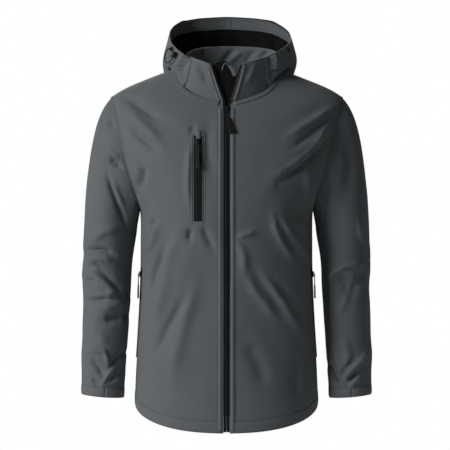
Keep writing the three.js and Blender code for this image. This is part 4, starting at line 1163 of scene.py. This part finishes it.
folds[-1].band(torso_skin, garage, 0, 12 * MM, 3.0 * MM, power=4.0)
for side, word in ((1, "left"), (-1, "right")):
    track = drop(torso_skin, even_line(middle_of(f"pocket_tape_{word}"), 4 * MM))
    for away in (-6.6, 6.6):
        folds[side].band(torso_skin, track, away * MM, 3.2 * MM, 1.0 * MM)
        threads.bars(torso_skin, track, away * 1.5 * MM, **STITCH)
print("folds beside the zips:", sum(len(f.faces) for f in folds.values()), "faces")

# %% [markdown]
# ## Hems, cuffs and the neck seam
# The hem and the cuffs are turned up and stitched, so the edge is twice as thick. The neck seam lies under a
# flat band with a row of stitches on each side. The armholes are pressed to the body's side and topstitched,
# so a soft ridge runs beside each seam.

# %% Hems, cuffs and neck seam
HEM_WIDTH = 23.0
CUFF_WIDTH = 20.0
FOLD_RISE = 0.75 * MM
torso_rim = np.concatenate([RIMS[node] for node in TORSO_NODES])
hem = edge_round(torso_rim, (0, 0), 150, highest=False)
hem = hem[np.abs(hem[:, 0]) + 1e3 * (hem[:, 1] > 0) > 9 * MM]
hem_track = drop(torso_skin, [p + Vector((0, 0, HEM_WIDTH / 2 * MM)) for p in even_line(hem, 5 * MM)])
hems = Sewing()
hems.band(torso_skin, hem_track, 0, HEM_WIDTH * MM, FOLD_RISE, power=10.0, steps=8)
hem_top = drop(torso_skin, [p + Vector((0, 0, (HEM_WIDTH + 0.6) * MM)) for p in even_line(hem, 5 * MM)])
threads.bars(torso_skin, hem_top, 0, **STITCH)

cuffs = {}
for word, side in (("left", 1), ("right", -1)):
    nodes = [f"sleeve_{word}_upper", f"sleeve_{word}_under"]
    skin = surface_of(nodes)
    rim = np.concatenate([RIMS[node] for node in nodes])
    rim = rim[rim[:, 2] < -0.62]
    ring = edge_round(rim, (side * 0.257, -0.029), 36, highest=False)
    ring = np.concatenate([ring, ring[:1]])
    cuffs[word] = Sewing()
    line = even_line(ring, 4 * MM)
    cuffs[word].band(skin, drop(skin, [p + Vector((0, 0, CUFF_WIDTH / 2 * MM)) for p in line]), 0,
                     CUFF_WIDTH * MM, FOLD_RISE, power=10.0, steps=8)
    threads.bars(skin, drop(skin, [p + Vector((0, 0, (CUFF_WIDTH + 0.6) * MM)) for p in line]), 0, **STITCH)

neck = edge_round(torso_rim, (0.0, -0.02), 90, highest=True)
neck = neck[(np.abs(neck[:, 0]) > 9 * MM) | (neck[:, 1] > 0)]
neck_track = drop(torso_skin, even_line(neck, 4 * MM))
below = 1 if headings(neck_track)[0].cross(neck_track[0][1]).z < 0 else -1
neck_band = Sewing()
neck_band.band(torso_skin, neck_track, below * 5.2 * MM, 12.6 * MM, 1.6 * MM, power=5.0, steps=8)
neck_band_tree = BVHTree.FromPolygons(neck_band.points, neck_band.faces)
for away in (1.4, 9.6):
    threads.bars(neck_band_tree, neck_track, below * away * MM, sunk=0.6, **STITCH)

sleeve_rims = np.concatenate([RIMS[f"sleeve_{word}_{part}"] for word in ("left", "right")
                              for part in ("upper", "under")])
to_sleeve, _ = distances(torso_rim, sleeve_rims)
for side in (1, -1):
    seam = torso_rim[(to_sleeve < 5 * MM) & (torso_rim[:, 0] * side > 0)]
    turned = np.stack([seam[:, 1], -(seam[:, 2] + 0.181), seam[:, 0]], axis=1)
    order = np.argsort(np.arctan2(turned[:, 0], -turned[:, 1]))
    line = even_line(seam[order], 4 * MM, smoothings=6)
    track = drop(torso_skin, line)
    inward = np.mean([a.cross(n).x for a, (_, n) in zip(headings(track), track)])
    way = 1 if inward * side < 0 else -1
    folds[side].band(torso_skin, track, way * 3.4 * MM, 5.2 * MM, 0.9 * MM)
    threads.bars(torso_skin, track, way * 6.8 * MM, **STITCH)
print("hems, cuffs, neck seam and armholes are folded and stitched")

# %% [markdown]
# ## The collar's edges and the hood's rim
# The collar's front edges are rolled over the ends of the zip tape, so they look thick and soft. The hood's
# facing is stitched along both of its edges and joined at the middle.

# %% Collar edges and hood rim
collar_skin = surface_of(["collar_outer"])
collar_rolls = Sewing()
for route in ([(-37, -7), (-33, -24), (-26, -48), (-14, -78)], [(37, -4), (33, -22), (27, -44), (17, -76)]):
    collar_rolls.band(collar_skin, from_front(collar_skin, route), 0, 7.5 * MM, 1.9 * MM)
    shifted = [(x * 1.17, z) for x, z in route]
    threads.bars(collar_skin, from_front(collar_skin, shifted), 0, **STITCH)
facing_skin = surface_of(["hood_facing"], INNER)
rim_line = edge_round(RIMS["hood_rim"], (0.004, 0.02), 80, highest=True)
rim_line = even_line(rim_line[np.abs(rim_line[:, 0]) + 1e3 * (rim_line[:, 1] > -0.03) > 1], 4 * MM)
for down in (3.0, 21.5):
    track = drop(facing_skin, [p - Vector((0, 0, down * MM)) for p in rim_line])
    threads.bars(facing_skin, track, 0, **STITCH)
flap_skin = surface_of(["wind_flap"])
flap_fold = Sewing()
for route, width, height in (([(-9, -14), (-5, -1), (3, 3), (10, -2), (16, -14), (21, -26)], 3.0, 1.5),
                             ([(7, -4), (13, -14), (18, -26)], 9.0, 1.0)):
    flap_fold.band(flap_skin, from_front(flap_skin, route), 0, width * MM, height * MM)
flap_fold.finish("wind_flap_fold", "shell", "softshell")
middle = from_front(facing_skin, [(8, 121), (8, 98)], 3 * MM)
facing_seam = Sewing()
if len(middle) > 1:
    facing_seam.band(facing_skin, middle, 0, 3.0 * MM, 0.9 * MM)
    facing_seam.finish("hood_facing_seam", "shell", "softshell")
print("collar rolls:", len(collar_rolls.faces), "faces")

# %% [markdown]
# ## Zip teeth
# These zips have a coil of stiff plastic wire sewn to each tape. Closed, the coils show as one narrow row of
# fine ribs down the middle. Each rib is one small rounded bar, set across the tape in turn to one side and
# the other. Above the slider the coils part and run up the collar's edges, and no teeth are made there.

# %% Zip teeth
TOOTH = {"length": 4.4 * MM, "radius": 0.62 * MM}
teeth = Sewing()
tape_skin = surface_of(["zip_tape_left", "zip_tape_right"])
line = from_front(tape_skin, [(1.2, -104), (1.2, -742)], 6 * MM)
line = [(Vector((0, p.y, p.z)), n) for p, n in line]
total = teeth.bars(tape_skin, line, 0, 1.5 * MM, **TOOTH, sunk=0.5, crossing=True, stagger=0.5 * MM)
for node in ("chest_tape", "pocket_tape_left", "pocket_tape_right"):
    mesh = frame["nodes"][node].data
    tree = BVHTree.FromPolygons([v.co for v in mesh.vertices], [p.vertices for p in mesh.polygons])
    rows = middle_of(node)
    outwards = Vector((rows[0][0], -0.2 if node == "chest_tape" else 0, 0)).normalized()
    track = [(tree.find_nearest(p + outwards * 0.02)[0], outwards) for p in even_line(rows, 4 * MM)]
    total += teeth.bars(tree, track, 0, 1.5 * MM, 3.2 * MM, 0.5 * MM, 0.5, crossing=True, stagger=0.3 * MM)
print("teeth:", total)

# %% [markdown]
# ## Putting the sewing on
# Each strip goes with the piece that it is part of.

# %% Putting the sewing on
SEWN_ON = {
    "front_left": [folds[1].finish("front_left_folds", "shell", "softshell")],
    "front_right": [folds[-1].finish("front_right_folds", "shell", "softshell")],
    "back": [hems.finish("hem_fold", "shell", "softshell")],
    "sleeve_left_upper": [cuffs["left"].finish("cuff_fold_left", "shell", "softshell")],
    "sleeve_right_upper": [cuffs["right"].finish("cuff_fold_right", "shell", "softshell")],
    "collar_outer": [neck_band.finish("neck_band", "shell", "softshell"),
                     collar_rolls.finish("collar_rolls", "shell", "softshell")],
}
threads.finish("topstitching", "thread", "softshell")
teeth.finish("zip_teeth", "coil", "zip_tape")

# %% [markdown]
# ## Modelling the hard pieces
# Sliders and pulls are small metal and rubber parts, and hands know how they feel: no edge on them is sharp.
# So each starts as a block or a ring at its size, is shaped in edit mode, and gets its edges bevelled. Their
# own small frame has X across, Y up along the zip and Z out of the cloth, in mm, and a matrix then puts the
# mesh in its place, so that the object itself stays at the origin.

# %% Tools for hard pieces
def open_faces(piece, chosen):
    """Opens a piece in edit mode with the faces selected that a test picks."""
    bpy.context.view_layer.objects.active = piece
    for face in piece.data.polygons:
        face.select = chosen(face)
    for edge in piece.data.edges:
        edge.select = False
    for vertex in piece.data.vertices:
        vertex.select = False
    for face in piece.data.polygons:
        if face.select:
            for index in face.vertices:
                piece.data.vertices[index].select = True
    bpy.ops.object.mode_set(mode="EDIT")
    bpy.ops.mesh.select_mode(type="FACE")


def close_piece():
    bpy.ops.object.mode_set(mode="OBJECT")


def add_block(size, place, top_share=1.0, bottom_share=1.0, rounding=0.7):
    """A block with rounded edges, whose top and bottom may be narrower than its middle."""
    bpy.ops.object.select_all(action="DESELECT")
    bpy.ops.mesh.primitive_cube_add(size=1, location=Vector(place) * MM)
    block = bpy.context.object
    block.scale = Vector(size) * MM
    bpy.ops.object.transform_apply(location=True, rotation=True, scale=True)
    for way, share in ((1, top_share), (-1, bottom_share)):
        if share != 1.0:
            open_faces(block, lambda face: face.normal.y * way > 0.9)
            bpy.ops.transform.resize(value=(share, 1, 1))
            close_piece()
    open_faces(block, lambda face: True)
    bpy.ops.mesh.bevel(offset=rounding * MM, segments=3, affect="EDGES")
    close_piece()
    return block


def raise_panel(block, margin, rise):
    """Insets the front of a block and pulls the inset face out, or in where rise is negative."""
    top = max(v.co.z for v in block.data.vertices)
    open_faces(block, lambda face: face.normal.z > 0.9 and face.center.z > top - 0.01 * MM)
    bpy.ops.mesh.inset(thickness=margin * MM)
    bpy.ops.mesh.extrude_region_move(TRANSFORM_OT_translate={"value": (0, 0, rise * MM)})
    close_piece()


def add_ring(radius, wire, place, turn=(0, 0, 0), stretch=0.0):
    """A ring of wire. stretch pulls its lower half down, so that it becomes a long link."""
    bpy.ops.object.select_all(action="DESELECT")
    bpy.ops.mesh.primitive_torus_add(
        major_radius=radius * MM, minor_radius=wire * MM, major_segments=28, minor_segments=10,
        location=Vector(place) * MM, rotation=turn,
    )
    ring = bpy.context.object
    bpy.ops.object.transform_apply(location=True, rotation=True, scale=True)
    if stretch:
        middle = place[1] * MM
        open_faces(ring, lambda face: face.center.y < middle)
        bpy.ops.transform.translate(value=(0, -stretch * MM, 0))
        close_piece()
    return ring


def join_pieces(name, pieces, matrix):
    """Joins shapes with their materials, and moves the mesh to its place."""
    bpy.ops.object.select_all(action="DESELECT")
    for shape, material in pieces:
        shape.data.materials.clear()
        shape.data.materials.append(MATERIALS[material])
        shape.select_set(True)
    bpy.context.view_layer.objects.active = pieces[0][0]
    bpy.ops.object.join()
    joined = bpy.context.object
    joined.name = name
    joined.data.name = name
    bpy.ops.object.shade_smooth_by_angle(angle=math.radians(40))
    joined.data.transform(matrix)
    joined.data.update()
    joined.select_set(False)
    return joined


def standing_at(place, up, out):
    """The matrix of a frame at a place, with Y up and Z out."""
    up = (up - out * up.dot(out)).normalized()
    side = up.cross(out)
    return Matrix.Translation(place) @ Matrix((side, up, out)).transposed().to_4x4()


print("hard pieces: blocks, raised panels and links")

# %% [markdown]
# ## Sliders
# A slider is a die-cast body with a raised face, and a bridge that holds the pull. It narrows to its lower
# end, where the closed teeth come out.

# %% Sliders
SLIDER_NODES = ["main_slider", "chest_slider", "pocket_slider_left", "pocket_slider_right"]


def node_points(node):
    return [v.co.copy() for v in frame["nodes"][node].data.vertices]


def extent(points, way):
    reach = [p.dot(way) for p in points]
    return min(reach), max(reach)


def make_slider(node):
    points = node_points(node)
    middle = sum(points, Vector()) / len(points)
    if node == "main_slider":
        out = drop(torso_skin, [middle])[0][1]
        out = Vector((0, out.y, out.z)).normalized()
    else:
        out = drop(torso_skin, [middle])[0][1]
    up = (Vector((0, 0, 1)) - out * out.z).normalized()
    side = up.cross(out)
    place = sum((way * sum(extent(points, way)) / 2 for way in (side, up)), Vector())
    place += out * (extent(points, out)[0] + 1.5 * MM)
    body = add_block((8.8, 12.0, 3.0), (0, 0, 0), bottom_share=0.74, rounding=0.75)
    raise_panel(body, 1.1, 0.45)
    bridge = add_ring(2.6, 0.8, (0, 0, 1.7), turn=(0, math.pi / 2, 0))
    mouth = add_block((9.4, 2.2, 2.0), (0, 5.2, -0.2), rounding=0.6)
    slider = join_pieces(node + "_cast", [(body, "metal"), (bridge, "metal"), (mouth, "metal")],
                         standing_at(place, up, out))
    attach(slider, BODY)
    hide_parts(node)
    return slider


for node in SLIDER_NODES:
    slider = make_slider(node)
    print(slider.name, len(slider.data.polygons), "faces")

# %% [markdown]
# ## Zip pulls
# Each pull is a wire link with a moulded rubber grip, which has ribs for the fingers. A pull is a body of its
# own: it swings about its hinge in the slider, so its mesh is placed by that hinge and rides on that body.

# %% Zip pulls
PULL_SHAPES = {
    "main_pull": {"length": 61, "grip": 15, "grip_length": 34, "thick": 3.4, "ribs": 6},
    "chest_pull": {"length": 57, "grip": 8.6, "grip_length": 34, "thick": 2.8, "ribs": 6},
    "pocket_pull_left": {"length": 50, "grip": 7.4, "grip_length": 29, "thick": 2.6, "ribs": 5},
    "pocket_pull_right": {"length": 50, "grip": 7.4, "grip_length": 29, "thick": 2.6, "ribs": 5},
}


def make_pull(name, length, grip, grip_length, thick, ribs):
    joint = next(j for j in frame["joints"] if j["child"] == name)
    hinge, axis = Vector(joint["pos_m"]), Vector(joint["axis"]).normalized()
    points = node_points(name)
    tip = sum(points, Vector()) / len(points) - hinge
    up = -(tip - axis * tip.dot(axis)).normalized()
    out = axis.cross(up)
    if out.dot(Vector((hinge.x, hinge.y, 0))) < 0:
        out = -out
    link = add_ring(1.9, 0.62, (0, -1.2, 0), stretch=length - grip_length - 3.5)
    body = add_block((grip, grip_length, thick), (0, grip_length / 2 - length, 0), top_share=0.55,
                     bottom_share=0.94, rounding=thick * 0.3)
    raise_panel(body, grip * 0.13, -0.35)
    shapes = [(body, "grip"), (link, "metal")]
    for number in range(ribs):
        height = 4.5 - length + number * (grip_length - 12) / ribs
        shapes.append((add_block((grip * 0.62, 1.2, thick + 0.5), (0, height, 0), rounding=0.35), "grip"))
    pull = join_pieces(name + "_moulded", shapes, standing_at(hinge, up, out))
    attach(pull, name)
    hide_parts(name)
    return pull


for name, shape in PULL_SHAPES.items():
    pull = make_pull(name, **shape)
    print(pull.name, len(pull.data.polygons), "faces")

# %% [markdown]
# ## The hood's left eyelet
# The hood has a small metal eyelet on each side of its rim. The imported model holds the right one, where the
# cord comes out. The left one is a slightly smaller ring, 8.8 mm across, at the like place on the other side.

# %% The hood's left eyelet
EYELET_PLACE = Vector((128.8, -42.7, 34.1)) * MM
EYELET_OUT = Vector((0.846, -0.509, 0.160)).normalized()
EYELET_RADIUS = 3.2
EYELET_WIRE = 1.2
EYELET_STANDS = 0.6
eyelet_ring = add_ring(EYELET_RADIUS, EYELET_WIRE, (0, 0, EYELET_STANDS))
eyelet = join_pieces("hood_eyelet_left_ring", [(eyelet_ring, "metal")],
                     standing_at(EYELET_PLACE, Vector((0, 0, 1)), EYELET_OUT))
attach(eyelet, BODY)
print(eyelet.name, len(eyelet.data.polygons), "faces")

# %% [markdown]
# ## Materials of the pieces that stay
# The short pocket tapes, the right eyelet and the cord's stopper already have their right shapes in the packed
# model, so they only get their finish.

# %% Materials of the pieces that stay
KEPT = {
    "tape": ["chest_tape", "pocket_tape_left", "pocket_tape_right"],
    "metal": ["hood_eyelet_right"],
    "grip": ["hood_stopper"],
}
for material, nodes in KEPT.items():
    for node in nodes:
        slots = frame["nodes"][node].material_slots
        slots[0].material = MATERIALS[material]
print("kept:", sum(len(n) for n in KEPT.values()), "pieces of the packed model have new materials")
